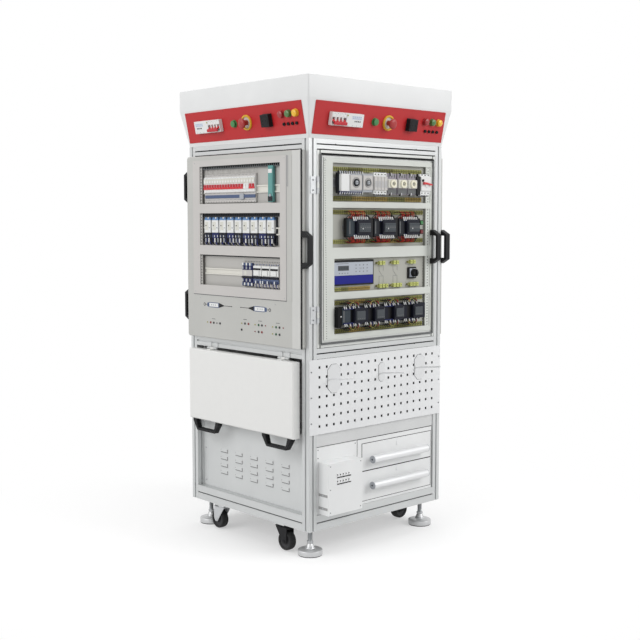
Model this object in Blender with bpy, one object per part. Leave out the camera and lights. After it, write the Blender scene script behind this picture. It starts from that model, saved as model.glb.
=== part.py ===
"""Electrical fault training column.

A square column of slotted aluminium profile on levelling feet and swivel casters.  Its four sides are
work places: each carries a door with switchgear and, in the white hood above, a red control panel.
The front has a perforated tool board with pegs, two drawers and a service box; the left side has a
folding table over a louvred cover.

Metres, +Z up.  The origin is on the floor under the middle of the column.  The front faces -Y, the left
side -X.  Every side is drawn in the front side's own coordinates (x to the right seen from outside,
y inwards, z up) and turned into place by the empty that carries it.
"""
import bpy
import bmesh
from math import atan2, cos, hypot, pi, radians, sin
from mathutils import Matrix, Vector

for old_object in list(bpy.data.objects):
    bpy.data.objects.remove(old_object, do_unlink=True)

# Driving dimensions
column_width = 0.750
frame_bottom = 0.1085
frame_height = 1.500
profile_width = 0.040
hood_height = 0.232
hood_overhang = 0.0305
mate_gap = 0.0003
cut_overrun = 0.004
weld_depth = 0.0010

column_half = column_width / 2
opening_half = column_half - profile_width
frame_top = frame_bottom + frame_height
side_turns = {"front": 0.0, "left": -pi / 2, "rear": pi, "right": pi / 2}


# Finishes: base colour, roughness, metallic
finishes = {
    "aluminium": ((0.62, 0.63, 0.64), 0.38, 0.9),
    "white_paint": ((0.86, 0.87, 0.86), 0.45, 0.0),
    "light_grey_paint": ((0.66, 0.66, 0.63), 0.5, 0.0),
    "hood_white": ((0.90, 0.91, 0.91), 0.4, 0.0),
    "panel_red": ((0.70, 0.09, 0.08), 0.45, 0.0),
    "signal_red": ((0.72, 0.03, 0.03), 0.35, 0.0),
    "signal_green": ((0.05, 0.50, 0.15), 0.35, 0.0),
    "black_plastic": ((0.03, 0.03, 0.035), 0.5, 0.0),
    "steel": ((0.55, 0.56, 0.57), 0.35, 0.85),
    "plate_grey": ((0.55, 0.56, 0.54), 0.5, 0.2),
    "rubber": ((0.02, 0.02, 0.02), 0.8, 0.0),
    "board_white": ((0.89, 0.89, 0.88), 0.4, 0.0),
}


def finish(name):
    """The named finish as a material, made once."""
    material = bpy.data.materials.get(name)
    if material:
        return material
    colour, roughness, metallic = finishes[name]
    material = bpy.data.materials.new(name)
    material.use_nodes = True
    shader = material.node_tree.nodes["Principled BSDF"]
    shader.inputs["Base Color"].default_value = (*colour, 1.0)
    shader.inputs["Roughness"].default_value = roughness
    shader.inputs["Metallic"].default_value = metallic
    return material


# Shapes, each a closed bmesh in the coordinates of its side
def closed(bm):
    bmesh.ops.recalc_face_normals(bm, faces=bm.faces)
    return bm


def block(x0, x1, y0, y1, z0, z1):
    """An upright box between two corners."""
    bm = bmesh.new()
    bmesh.ops.create_cube(bm, size=1.0)
    middle = Vector(((x0 + x1) / 2, (y0 + y1) / 2, (z0 + z1) / 2))
    size = Vector((abs(x1 - x0), abs(y1 - y0), abs(z1 - z0)))
    bmesh.ops.transform(bm, matrix=Matrix.Translation(middle) @ Matrix.Diagonal((*size, 1.0)), verts=bm.verts)
    return bm


def extruded(outline, travel):
    """A flat outline of 3-D points swept along the vector travel."""
    bm = bmesh.new()
    face = bm.faces.new([bm.verts.new(point) for point in outline])
    swept = bmesh.ops.extrude_face_region(bm, geom=[face])
    moved = [item for item in swept["geom"] if isinstance(item, bmesh.types.BMVert)]
    bmesh.ops.translate(bm, vec=travel, verts=moved)
    return closed(bm)


def lofted(rings):
    """Rings of equal point counts joined in turn, with a flat cap on each end."""
    bm = bmesh.new()
    loops = [[bm.verts.new(point) for point in ring] for ring in rings]
    count = len(loops[0])
    for lower, upper in zip(loops, loops[1:]):
        for index in range(count):
            after = (index + 1) % count
            bm.faces.new((lower[index], lower[after], upper[after], upper[index]))
    bm.faces.new(list(reversed(loops[0])))
    bm.faces.new(loops[-1])
    return closed(bm)


def turned(profile, centre, axis="z", sides=16):
    """A profile of (height, radius) pairs turned about an axis through centre."""
    spin = {"x": Matrix.Rotation(pi / 2, 4, "Y"), "y": Matrix.Rotation(-pi / 2, 4, "X"), "z": Matrix.Identity(4)}
    rings = []
    for height, radius in profile:
        steps = [2 * pi * (index + 1 / 2) / sides for index in range(sides)]
        rings.append([(radius * cos(step), radius * sin(step), height) for step in steps])
    bm = lofted(rings)
    bmesh.ops.transform(bm, matrix=Matrix.Translation(centre) @ spin[axis], verts=bm.verts)
    return bm


def rod(centre, radius, low, high, axis="z", sides=16):
    """A round bar along an axis, from low to high as measured from centre."""
    return turned([(low, radius), (high, radius)], centre, axis, sides)


def moved(bm, matrix):
    bmesh.ops.transform(bm, matrix=matrix, verts=bm.verts)
    return bm


def about(bm, angle, axis, centre):
    """The shape turned by an angle about an axis through centre."""
    place = Matrix.Translation(centre)
    return moved(bm, place @ Matrix.Rotation(angle, 4, axis) @ place.inverted())


def ringed(shape):
    """Four copies of a shape, one for each side of the column."""
    return [about(shape(), turn, "Z", (0, 0, 0)) for turn in side_turns.values()]


def together(shapes):
    """Shapes that don't touch, in one bmesh."""
    joined = bmesh.new()
    for shape in shapes:
        copy = bpy.data.meshes.new("shape")
        shape.to_mesh(copy)
        shape.free()
        joined.from_mesh(copy)
        bpy.data.meshes.remove(copy)
    return joined


# Groups: empties that carry a side's fixed pieces or stand on a joint's axis
class Group:
    """An empty at a pivot.  Its pieces are drawn in side coordinates, or about the pivot if it is local."""

    def __init__(self, name, side="front", pivot=(0, 0, 0), tilt=0.0, swivel=0.0, local=False):
        self.pivot = Vector(pivot)
        self.empty = bpy.data.objects.new(name, None)
        bpy.context.scene.collection.objects.link(self.empty)
        turn = Matrix.Rotation(side_turns[side], 4, "Z")
        place = turn @ Matrix.Translation(self.pivot)
        turned_place = place @ Matrix.Rotation(tilt, 4, "X") @ Matrix.Rotation(swivel, 4, "Z")
        self.empty.matrix_world = turned_place
        self.drawn_about = Vector((0, 0, 0)) if local else self.pivot

    def moved_to(self, name, point):
        """A group on a point of this one, such as a button's axis on a sloping panel."""
        other = Group.__new__(Group)
        other.pivot = Vector(point)
        other.empty = bpy.data.objects.new(name, None)
        bpy.context.scene.collection.objects.link(other.empty)
        other.empty.matrix_world = self.empty.matrix_world @ Matrix.Translation(Vector(point))
        other.drawn_about = Vector(point)
        return other


def placed(name, bm, group, material):
    mesh = bpy.data.meshes.new(name)
    bmesh.ops.translate(bm, vec=-group.drawn_about, verts=bm.verts)
    bm.to_mesh(mesh)
    bm.free()
    mesh.shade_smooth()
    mesh.set_sharp_from_angle(angle=radians(30))
    mesh.materials.append(finish(material))
    piece = bpy.data.objects.new(name, mesh)
    bpy.context.scene.collection.objects.link(piece)
    piece.parent = group.empty
    return piece


def piece(name, group, material, base, add=(), cut=(), inside=()):
    """A node: the base shapes, with add welded on, cut taken away, and inside welded on last.

    Each of the three is a list of lists, and the shapes in one list don't touch each other.
    """
    body = placed(name, together(base), group, material)
    for step_name, operation, lists in (("add", "UNION", add), ("cut", "DIFFERENCE", cut), ("inside", "UNION", inside)):
        for number, shapes in enumerate(lists):
            tool = placed(f"{name}_{step_name}_{number}", together(shapes), group, material)
            tool.hide_render = True
            tool.display_type = "WIRE"
            step = body.modifiers.new(tool.name, "BOOLEAN")
            step.operation = operation
            step.object = tool
            step.solver = "EXACT"
    return body


column = Group("column")
left_side = Group("left_side", "left")
rear_side = Group("rear_side", "rear")
right_side = Group("right_side", "right")

# Slotted profile
slot_width = 0.008
slot_depth = 0.006


def profile_outline(width, depth, slots):
    """Points (across, deep) round a rectangle, with a slot in the middle of each side named in slots."""
    half_w, half_d, half_s = width / 2, depth / 2, slot_width / 2
    points = [(-half_w, -half_d)]
    if "outer" in slots:
        points += [(-half_s, -half_d), (-half_s, slot_depth - half_d), (half_s, slot_depth - half_d), (half_s, -half_d)]
    points.append((half_w, -half_d))
    if "right" in slots:
        points += [(half_w, -half_s), (half_w - slot_depth, -half_s), (half_w - slot_depth, half_s), (half_w, half_s)]
    points.append((half_w, half_d))
    if "inner" in slots:
        points += [(half_s, half_d), (half_s, half_d - slot_depth), (-half_s, half_d - slot_depth), (-half_s, half_d)]
    points.append((-half_w, half_d))
    if "left" in slots:
        points += [(-half_w, half_s), (slot_depth - half_w, half_s), (slot_depth - half_w, -half_s), (-half_w, -half_s)]
    return points


def upright(x, y, z0, z1, width=profile_width, depth=profile_width, slots=("outer", "right", "inner", "left")):
    """A standing profile centred on x, y."""
    outline = [(x + across, y + deep, z0) for across, deep in profile_outline(width, depth, slots)]
    return extruded(outline, Vector((0, 0, z1 - z0)))


def crossbar(x0, x1, y, z, height=profile_width, depth=profile_width, slots=("outer", "right", "inner", "left")):
    """A lying profile along x, centred on y, z."""
    outline = [(x0, y + deep, z + across) for across, deep in profile_outline(height, depth, slots)]
    return extruded(outline, Vector((x1 - x0, 0, 0)))


# Frame: four posts, three tiers of beams
post_middle = column_half - profile_width / 2
beam_reach = opening_half - mate_gap
middle_beam_level = frame_bottom + 0.4577 * frame_height
base_beam_height = 0.060
top_beam_level = frame_top - profile_width / 2
base_beam_level = frame_bottom + base_beam_height / 2
middle_beam_bottom = middle_beam_level - profile_width / 2
middle_beam_top = middle_beam_level + profile_width / 2
base_beam_top = frame_bottom + base_beam_height
top_beam_bottom = frame_top - profile_width


def cabinet_level(share):
    """A height in the upper half: 0 at the top of the middle beams, 1 at the underside of the top beams."""
    return middle_beam_top + share * (top_beam_bottom - middle_beam_top)


def base_level(share):
    """A height in the lower half: 0 at the top of the base beams, 1 at the underside of the middle beams."""
    return base_beam_top + share * (middle_beam_bottom - base_beam_top)


cabinet_height = cabinet_level(1) - cabinet_level(0)

corner_plate_size = 0.064
corner_plate_thickness = 0.008
corner_plate_notch = 0.004
foot_inset = 0.057
foot_stem_radius = 0.0095
foot_nut_radius = 0.0155
foot_nut_height = 0.012
running_clearance = 0.0004

kingpin_radius = 0.006
kingpin_height = 0.005
caster_plate_width = 0.052
caster_plate_length = 0.066
caster_plate_thickness = 0.004
caster_line = column_half - weld_depth - caster_plate_width / 2
caster_spread = 0.5093 * column_half


def beam(level, height=profile_width, slots=("outer", "right", "inner", "left")):
    return crossbar(-beam_reach, beam_reach, -post_middle, level, height, profile_width, slots)


def corner_plate(low):
    """A plate in the corner at a side's right end, welded to both beams, its outer corner cut off by the post."""
    inner = opening_half - corner_plate_size
    outer = opening_half + weld_depth
    notch = opening_half - corner_plate_notch
    outline = [(inner, -outer), (notch, -outer), (outer, -notch), (outer, -inner), (inner, -inner)]
    return extruded([(x, y, low) for x, y in outline], Vector((0, 0, corner_plate_thickness)))


def foot_place(sign_x, sign_y):
    return (sign_x * (column_half - foot_inset), sign_y * (column_half - foot_inset))


def foot_nut():
    """The hexagonal lock nut that hangs under a corner plate, for the foot of that corner."""
    x, y = foot_place(1, -1)
    top = frame_bottom + weld_depth * 2
    return turned([(frame_bottom - foot_nut_height, foot_nut_radius), (top, foot_nut_radius)], (x, y, 0), "z", 6)


def foot_bore():
    x, y = foot_place(1, -1)
    low = frame_bottom - foot_nut_height - cut_overrun
    high = frame_bottom + corner_plate_thickness + weld_depth + cut_overrun
    return rod((x, y, 0), foot_stem_radius + running_clearance, low, high, "z", 12)


def caster_plates():
    plates = []
    for sign_x in (-1, 1):
        for sign_y in (-1, 1):
            x, y = sign_x * caster_line, sign_y * caster_spread
            low = frame_bottom - caster_plate_thickness
            plates.append(block(x - caster_plate_width / 2, x + caster_plate_width / 2, y - caster_plate_length / 2,
                                y + caster_plate_length / 2, low, frame_bottom + weld_depth))
    return plates


def kingpin_bores():
    """A blind bore up through each caster plate into the beam."""
    low = frame_bottom - caster_plate_thickness - cut_overrun
    high = frame_bottom + kingpin_height + weld_depth
    return [rod((sign_x * caster_line, sign_y * caster_spread, 0), kingpin_radius + running_clearance, low, high, "z", 12)
            for sign_x in (-1, 1) for sign_y in (-1, 1)]


piece("base_frame", column, "aluminium",
      base=ringed(lambda: beam(base_beam_level, base_beam_height, ("outer", "inner"))),
      add=[ringed(lambda: corner_plate(frame_bottom + weld_depth)), ringed(foot_nut), caster_plates()],
      cut=[ringed(foot_bore), kingpin_bores()])
piece("top_frame", column, "aluminium",
      base=ringed(lambda: beam(top_beam_level)),
      add=[ringed(lambda: corner_plate(frame_top - weld_depth - corner_plate_thickness))])
piece("middle_beam_front", column, "aluminium", [beam(middle_beam_level)])
piece("middle_beam_rear", rear_side, "aluminium", [beam(middle_beam_level)])
piece("middle_beam_right", right_side, "aluminium", [beam(middle_beam_level)])

# Hinges: a fixed leaf with two knuckles and the pin, and a moving leaf with one knuckle on the pin
knuckle_radius = 0.005
pin_radius = 0.0024
leaf_thickness = 0.0025
hinge_height = 0.064
knuckle_sides = 12
pin_sides = 8


def hinge_knuckles(x, y, z, along="z"):
    """The pin and the two outer knuckles of a hinge, which belong to its fixed half."""
    third = hinge_height / 3
    low, high = -hinge_height / 2, hinge_height / 2
    parts = [rod((x, y, z), pin_radius, low, high, along, pin_sides)]
    ends = [rod((x, y, z), knuckle_radius, low, low + third - mate_gap, along, knuckle_sides),
            rod((x, y, z), knuckle_radius, high - third + mate_gap, high, along, knuckle_sides)]
    return parts, ends


# Overlay doors of the left, right and rear sides, which stand proud of the posts.  Seen from outside, a door's
# hand is -1 where it is hinged at its left end, and 1 where it is hinged at its right end.
left_hand = -1
right_hand = 1
overlay_half = 0.9573 * column_half
overlay_proud = 0.027
overlay_sheet = 0.002
overlay_end_gap = 0.0005
overlay_low = middle_beam_top + overlay_end_gap
overlay_top_gap = 0.003
overlay_high = top_beam_bottom - overlay_top_gap
overlay_hinge_levels = (cabinet_level(0.1977), cabinet_level(0.7989))
overlay_corner = 0.006
hinge_side_gap = 0.0006
overlay_pin_reach = overlay_half + knuckle_radius + hinge_side_gap
overlay_pin_y = -column_half - mate_gap - leaf_thickness / 2 - knuckle_radius


def fixed_leaf_overlay(level, hand):
    """The post's half of an overlay door's hinge: pin, outer knuckles and leaf, welded to the post."""
    pin_x = hand * overlay_pin_reach
    pins, ends = hinge_knuckles(pin_x, overlay_pin_y, level)
    low, high = level - hinge_height / 2, level + hinge_height / 2
    third = hinge_height / 3
    leaves = []
    for z0, z1 in ((low, low + third - mate_gap), (high - third + mate_gap, high)):
        leaves.append(block(pin_x, hand * (column_half - mate_gap), overlay_pin_y, -column_half + weld_depth, z0, z1))
    return pins, ends, leaves


def post_hinges(side, hand):
    """All fixed hinge leaves of a side's overlay door, as three lists of shapes that don't touch."""
    pins, ends, leaves = [], [], []
    for level in overlay_hinge_levels:
        some_pins, some_ends, some_leaves = fixed_leaf_overlay(level, hand)
        pins += some_pins
        ends += some_ends
        leaves += some_leaves
    return [[about(shape, side_turns[side], "Z", (0, 0, 0)) for shape in shapes] for shapes in (leaves, ends, pins)]


def post(name, sign_x, sign_y, hinges=()):
    piece(name, column, "aluminium",
          base=[upright(sign_x * post_middle, sign_y * post_middle, frame_bottom, frame_top)], add=hinges)


post("post_front_left", -1, -1)
post("post_front_right", 1, -1)
post("post_rear_left", -1, 1, post_hinges("left", left_hand))
post("post_rear_right", 1, 1, post_hinges("rear", left_hand) + post_hinges("right", right_hand))

# Hood
hood_sheet = 0.002
fascia_height = 0.0845
hood_corner = 0.006
hood_bottom = frame_top + mate_gap
hood_top = frame_top + hood_height
hood_break = hood_top - fascia_height
hood_half = column_half + hood_overhang
slope_rise = hood_break - hood_bottom
slope_tilt = atan2(hood_overhang, slope_rise)
slope_length = hypot(hood_overhang, slope_rise)
panel_half = 0.9747 * column_half
panel_low = 0.0160
panel_high = 0.1415
panel_sheet = 0.0015
station_level = 0.0790
window_half = 0.8587 * column_half
window_margin = 0.024


def square_ring(half, corner, level):
    """A square ring of eight points with cut corners."""
    near = half - corner
    return [(near, -half, level), (half, -near, level), (half, near, level), (near, half, level),
            (-near, half, level), (-half, near, level), (-half, -near, level), (-near, -half, level)]


def hood_rings():
    inside = hood_sheet
    return [square_ring(hood_half - inside, hood_corner, hood_top - inside),
            square_ring(hood_half - inside, hood_corner, hood_break),
            square_ring(column_half - inside, hood_corner, hood_bottom),
            square_ring(column_half, hood_corner, hood_bottom),
            square_ring(hood_half, hood_corner, hood_break),
            square_ring(hood_half, hood_corner, hood_top)]


def on_slope(bm, side):
    """A shape drawn in slope coordinates (z up the slope from its lower edge), brought onto a side."""
    foot = Matrix.Translation((0, -column_half, hood_bottom))
    return moved(bm, Matrix.Rotation(side_turns[side], 4, "Z") @ foot @ Matrix.Rotation(slope_tilt, 4, "X"))


def slope_window():
    low, high = panel_low + window_margin, panel_high - window_margin
    return block(-window_half, window_half, -cut_overrun, hood_sheet + cut_overrun, low, high)


# Control stations on the slopes, the same on all sides
toggle_count = 4
toggle_pitch = 0.018
leakage_module_width = 0.095
breaker_right = -0.3267 * column_half
breaker_left = breaker_right - toggle_count * toggle_pitch - leakage_module_width
breaker_half_height = 0.0250
breaker_proud = 0.0175
start_place = -0.1200 * column_half
stop_place = 0.0853 * column_half
guard_radius = 0.0305
guard_bore = 0.0225
guard_height = 0.006
guard_floor = 0.0005
bezel_radius = 0.0155
bezel_height = 0.0045
button_radius = 0.0105
button_proud = 0.0065
button_inner = 0.012
button_travel = 0.004
mushroom_radius = 0.020
mushroom_low = 0.0225
mushroom_high = 0.035
lamp_shares = (0.6573, 0.7653, 0.8733)
lamp_places = tuple(share * column_half for share in lamp_shares)
lamp_level = 0.0970
lamp_radius = 0.0150
lamp_lens_radius = 0.0140
lamp_bezel = 0.004
lamp_height = 0.0165
socket_shares = (0.6747, 0.7387, 0.8027, 0.8667)
socket_places = tuple(share * column_half for share in socket_shares)
socket_level = 0.0585
socket_radius = 0.0065
socket_height = 0.006
round_sides = 20
small_sides = 12

outlet_left = 0.3627 * column_half
outlet_width = 0.0510
outlet_proud = 0.0200
outlet_half_height = 0.0255


def panel_plate(back):
    return block(-panel_half, panel_half, -mate_gap - panel_sheet, back, panel_low, panel_high)


def guard_ring():
    """The collar round the stop button, before its middle is taken out."""
    base = -mate_gap - panel_sheet
    return rod((stop_place, 0, station_level), guard_radius, base - guard_height, base + weld_depth, "y", round_sides)


def guard_middle():
    base = -mate_gap - panel_sheet
    return rod((stop_place, 0, station_level), guard_bore, base - guard_height - cut_overrun, base - guard_floor, "y",
               round_sides)


def lamps(sides):
    base = -mate_gap - panel_sheet + weld_depth
    shapes = []
    for x in lamp_places:
        profile = [(base, lamp_radius), (base - weld_depth - lamp_bezel, lamp_radius),
                   (base - weld_depth - lamp_bezel, lamp_lens_radius),
                   (base - weld_depth - lamp_height * 3 / 4, lamp_lens_radius),
                   (base - weld_depth - lamp_height, lamp_lens_radius / 2)]
        shapes.append(turned(profile, (x, 0, lamp_level), "y", sides))
    return shapes


def sockets():
    base = -mate_gap - panel_sheet + weld_depth
    return [rod((x, 0, socket_level), socket_radius, base - weld_depth - socket_height, base, "y", small_sides)
            for x in socket_places]


def breaker_body():
    return block(breaker_left, breaker_right, -mate_gap - panel_sheet - breaker_proud,
                 -mate_gap - panel_sheet + weld_depth, station_level - breaker_half_height,
                 station_level + breaker_half_height)


def outlet():
    base = -mate_gap - panel_sheet
    return block(outlet_left, outlet_left + outlet_width, base - outlet_proud, base + weld_depth,
                 station_level - outlet_half_height, station_level + outlet_half_height)


def bezel():
    base = -mate_gap - panel_sheet + weld_depth
    return rod((start_place, 0, station_level), bezel_radius, base - weld_depth - bezel_height, base, "y", round_sides)


def dummy_station(side):
    """The fixed station of a side whose buttons aren't made to move: plate, then what stands on it."""
    plate = panel_plate(weld_depth)
    base = -mate_gap - panel_sheet + weld_depth
    mushroom = turned([(base, button_radius), (base - mushroom_low, button_radius),
                       (base - mushroom_low, mushroom_radius), (base - mushroom_high, mushroom_radius * 4 / 5)],
                      (stop_place, 0, station_level), "y", small_sides)
    parts = [breaker_body(), outlet(), bezel(), mushroom] + lamps(small_sides)
    return on_slope(plate, side), [on_slope(part, side) for part in parts]


rear_plate, rear_parts = dummy_station("rear")
right_plate, right_parts = dummy_station("right")
piece("hood", column, "hood_white", [lofted(hood_rings())],
      add=[[rear_plate, right_plate], rear_parts + right_parts],
      cut=[[on_slope(slope_window(), "front"), on_slope(slope_window(), "left")]])

toggle_width = 0.009
toggle_thickness = 0.006
toggle_bar_radius = 0.005
toggle_reach = 0.019
toggle_tilt = radians(20)
toggle_depth = 0.013
toggle_pocket_half = 0.0125
toggle_drop = 0.006
toggle_margin = 0.003
toggle_first = {"front": breaker_left + toggle_margin,
                "left": breaker_right - toggle_margin - toggle_count * toggle_pitch}
tie_inset = 0.002
tie_thickness = 0.005
tie_height = 0.016


def station(side):
    slope = Group(f"{side}_slope", side, (0, -column_half, hood_bottom), tilt=slope_tilt, local=True)
    face = -mate_gap - panel_sheet
    front = face - breaker_proud
    bar_y = front + toggle_depth / 2
    bar_z = station_level - toggle_drop
    pocket_x0 = toggle_first[side]
    pocket_x1 = pocket_x0 + toggle_count * toggle_pitch
    bore = button_radius + running_clearance
    piece(f"{side}_control_panel", slope, "panel_red", [panel_plate(-mate_gap)],
          add=[[breaker_body(), outlet(), bezel(), guard_ring()] + lamps(small_sides) + sockets()],
          cut=[[block(pocket_x0, pocket_x1, front - cut_overrun, front + toggle_depth, bar_z - toggle_pocket_half,
                      bar_z + toggle_pocket_half),
                rod((start_place, 0, station_level), bore, face - bezel_height - cut_overrun, cut_overrun, "y",
                    round_sides),
                guard_middle()],
               [rod((stop_place, 0, station_level), bore, face - cut_overrun, cut_overrun, "y", round_sides)]])
    middle = (pocket_x0 + pocket_x1) / 2
    toggle_group = slope.moved_to(f"{side}_toggle_pivot", (middle, bar_y, bar_z))
    levers = []
    for index in range(toggle_count):
        x = pocket_x0 + (index + 1 / 2) * toggle_pitch
        lever = block(x - toggle_width / 2, x + toggle_width / 2, bar_y - toggle_reach, bar_y,
                      bar_z - toggle_thickness / 2, bar_z + toggle_thickness / 2)
        levers.append(about(lever, toggle_tilt, "X", (0, bar_y, bar_z)))
    tip_y = bar_y - toggle_reach
    tie = block(pocket_x0 + tie_inset, pocket_x1 - tie_inset, tip_y, tip_y + tie_thickness,
                bar_z - toggle_thickness / 2 - tie_height, bar_z - toggle_thickness / 2)
    piece(f"{side}_breaker_toggles", toggle_group, "signal_red",
          [rod((middle, bar_y, bar_z), toggle_bar_radius, pocket_x0 + mate_gap - middle, pocket_x1 - mate_gap - middle,
               "x", small_sides)], add=[levers, [tie]])
    start_group = slope.moved_to(f"{side}_start_axis", (start_place, 0, station_level))
    piece(f"{side}_start_button", start_group, "signal_green",
          [rod((start_place, 0, station_level), button_radius, face - button_proud, button_inner, "y", round_sides)])
    stop_group = slope.moved_to(f"{side}_stop_axis", (stop_place, 0, station_level))
    rim = mushroom_radius
    profile = [(button_inner, button_radius), (face - mushroom_low, button_radius), (face - mushroom_low, rim),
               (face - (mushroom_low + mushroom_high) / 2, rim), (face - mushroom_high, rim * 3 / 5)]
    piece(f"{side}_stop_button", stop_group, "signal_red",
          [turned(profile, (stop_place, 0, station_level), "y", round_sides)])


station("front")
station("left")

# Bridge handles: two feet, two legs that lean in, and a grip
handle_length = 0.140
handle_grip_length = 0.104
handle_width = 0.0235
handle_reach = 0.043
handle_thickness = 0.011


def bridge_outline(length, grip_length, reach, thickness):
    """Points (along, out) round a trapezoid bridge whose inside is open towards the face that it stands on."""
    outer, grip = length / 2, grip_length / 2
    foot = thickness * 2
    inner_grip = grip - thickness / 2
    return [(-outer, 0), (-outer, thickness), (-grip, reach), (grip, reach), (outer, thickness), (outer, 0),
            (outer - foot, 0), (outer - foot, thickness / 2), (inner_grip, reach - thickness),
            (-inner_grip, reach - thickness), (foot - outer, thickness / 2), (foot - outer, 0)]


def bridge(x, face, z, sunk=0.0):
    """A standing bridge handle centred on x, z, which reaches out from just before the face at y=face."""
    outline = bridge_outline(handle_length, handle_grip_length, handle_reach + sunk, handle_thickness)
    points = [(x - handle_width / 2, face - mate_gap + sunk - out, z + along) for along, out in outline]
    return extruded(points, Vector((handle_width, 0, 0)))


# Overlay doors.  The left and right doors have their handle on the edge that is away from the hinges, and the
# rear door has two on its face, so that the left door swings clear of them.
left_handle_level = cabinet_level(0.4997)
overlay_front = -column_half - mate_gap - overlay_proud


def edge_bridge(hand, z, sunk=0.0):
    """A standing bridge handle on the free edge of an overlay door, its feet sunk where it is one with the door."""
    middle = overlay_front + overlay_proud / 2
    outline = bridge_outline(handle_length, handle_grip_length, handle_reach + sunk, handle_thickness)
    points = [(-hand * (overlay_half + mate_gap - sunk + out), middle - handle_width / 2, z + along)
              for along, out in outline]
    return extruded(points, Vector((0, handle_width, 0)))


rear_handle_x = overlay_half - 0.016
sunk_feet = mate_gap + weld_depth


def door_rings(half, low, high, corner):
    """An open-backed sheet-metal door: outline rings from inside the front sheet round to the outside."""
    def ring(inset, y):
        x, z0, z1, cut = half - inset, low + inset, high - inset, corner
        return [(x - cut, y, z0), (x, y, z0 + cut), (x, y, z1 - cut), (x - cut, y, z1),
                (cut - x, y, z1), (-x, y, z1 - cut), (-x, y, z0 + cut), (cut - x, y, z0)]
    back = -column_half - mate_gap
    return [ring(overlay_sheet, overlay_front + overlay_sheet), ring(overlay_sheet, back), ring(0, back),
            ring(0, overlay_front + corner / 2), ring(corner / 2, overlay_front)]


def moving_leaf_overlay(hand):
    """The door's half of its hinges: a knuckle on each pin and the leaf that ties it to the door's edge."""
    third = hinge_height / 3
    pin_x = hand * overlay_pin_reach
    leaves, knuckles = [], []
    for level in overlay_hinge_levels:
        z0, z1 = level - third / 2 + mate_gap, level + third / 2 - mate_gap
        leaves.append(block(pin_x, hand * (overlay_half - weld_depth), overlay_pin_y - knuckle_radius,
                            overlay_pin_y - knuckle_radius + leaf_thickness, z0, z1))
        knuckles.append(rod((pin_x, overlay_pin_y, level), knuckle_radius, z0 - level, z1 - level, "z",
                            knuckle_sides))
    bores = [rod((pin_x, overlay_pin_y, level), pin_radius + running_clearance, -third, third, "z", pin_sides)
             for level in overlay_hinge_levels]
    return [leaves, knuckles], bores


def overlay_door(name, side, hand, add=(), cut=()):
    group = Group(f"{name}_hinge", side, (hand * overlay_pin_reach, overlay_pin_y, overlay_low))
    welds, bores = moving_leaf_overlay(hand)
    piece(name, group, "light_grey_paint",
          [lofted(door_rings(overlay_half, overlay_low, overlay_high, overlay_corner))],
          add=welds + list(add), cut=[bores] + list(cut))
    return group


def device_rows(row_shares, depths):
    """Blocks of devices: ends across, middle height and half height from shares, and depth as a size."""
    return [(left * column_half, right * column_half, cabinet_level(level), half * cabinet_height, depth)
            for (left, right, level, half), depth in zip(row_shares, depths)]


# Left door windows, with the plate of relays and contactors behind them
left_field_left = -0.8347 * column_half
left_field_right = 0.8267 * column_half
left_field_low = cabinet_level(0.2409)
left_field_high = cabinet_level(0.9728)
left_field_proud = 0.0010
left_window_left = -0.7120 * column_half
left_window_right = 0.6467 * column_half
left_window_shares = ((0.7359, 0.9390), (0.5109, 0.6848), (0.2933, 0.4592))
left_windows = tuple((cabinet_level(low), cabinet_level(high)) for low, high in left_window_shares)
left_plate_half = 0.7493 * column_half
left_plate_sheet = 0.002
left_plate_low = cabinet_level(0.2694)
left_plate_high = cabinet_level(0.9608)
left_plate_standoff = 0.0155
standoff_radius = 0.005
left_device_rows_shares = ((-0.6027, 0.2987, 0.8142, 0.0750), (0.5013, 0.6293, 0.8394, 0.0982),
                           (-0.6027, 0.6080, 0.5893, 0.0690), (0.0720, 0.6453, 0.3597, 0.0637))
left_device_rows_depths = (0.031, 0.031, 0.031, 0.031)
left_device_rows = device_rows(left_device_rows_shares, left_device_rows_depths)
rail_half = 0.0175
rail_depth = 0.007

left_window_cuts = [block(left_window_left, left_window_right, overlay_front - cut_overrun,
                          overlay_front + overlay_sheet + cut_overrun, low, high) for low, high in left_windows]
left_field = block(left_field_left, left_field_right, overlay_front - left_field_proud, overlay_front + weld_depth,
                   left_field_low, left_field_high)
left_door_group = overlay_door("left_door", "left", left_hand, add=[[left_field]], cut=[left_window_cuts])


def left_devices():
    """The device plate, carried by four stand-offs on the inside of the door's front sheet."""
    sheet_back = overlay_front + overlay_sheet
    plate_y = sheet_back + mate_gap + left_plate_standoff
    studs = []
    for sign_x in (-1, 1):
        for z in (left_plate_low + standoff_radius * 2, left_plate_high - standoff_radius):
            x = sign_x * (left_plate_half - standoff_radius)
            studs.append(rod((x, 0, z), standoff_radius, sheet_back + mate_gap, plate_y + weld_depth, "y", small_sides))
    rails, blocks = [], []
    for x0, x1, z, half, deep in left_device_rows:
        blocks.append(block(x0, x1, plate_y - deep, plate_y + weld_depth, z - half, z + half))
    for low, high in left_windows:
        z = (low + high) / 2
        rails.append(block(left_window_left, left_window_right, plate_y - rail_depth, plate_y + weld_depth,
                           z - rail_half, z + rail_half))
    piece("left_device_plate", left_door_group, "plate_grey",
          [block(-left_plate_half, left_plate_half, plate_y, plate_y + left_plate_sheet, left_plate_low,
                 left_plate_high)], add=[rails, blocks, studs])


left_devices()
piece("left_door_handle", left_door_group, "black_plastic", [edge_bridge(left_hand, left_handle_level)])

# Right and rear doors, plain but for a pressed field, with welded-on bridge handles
rear_handle_levels = (cabinet_level(0.1672), cabinet_level(0.8334))
press_depth = 0.001
press_margin = 0.058


def pressed_field():
    return block(press_margin - overlay_half, overlay_half - press_margin, overlay_front - cut_overrun,
                 overlay_front + press_depth, overlay_low + press_margin, overlay_high - press_margin)


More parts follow.
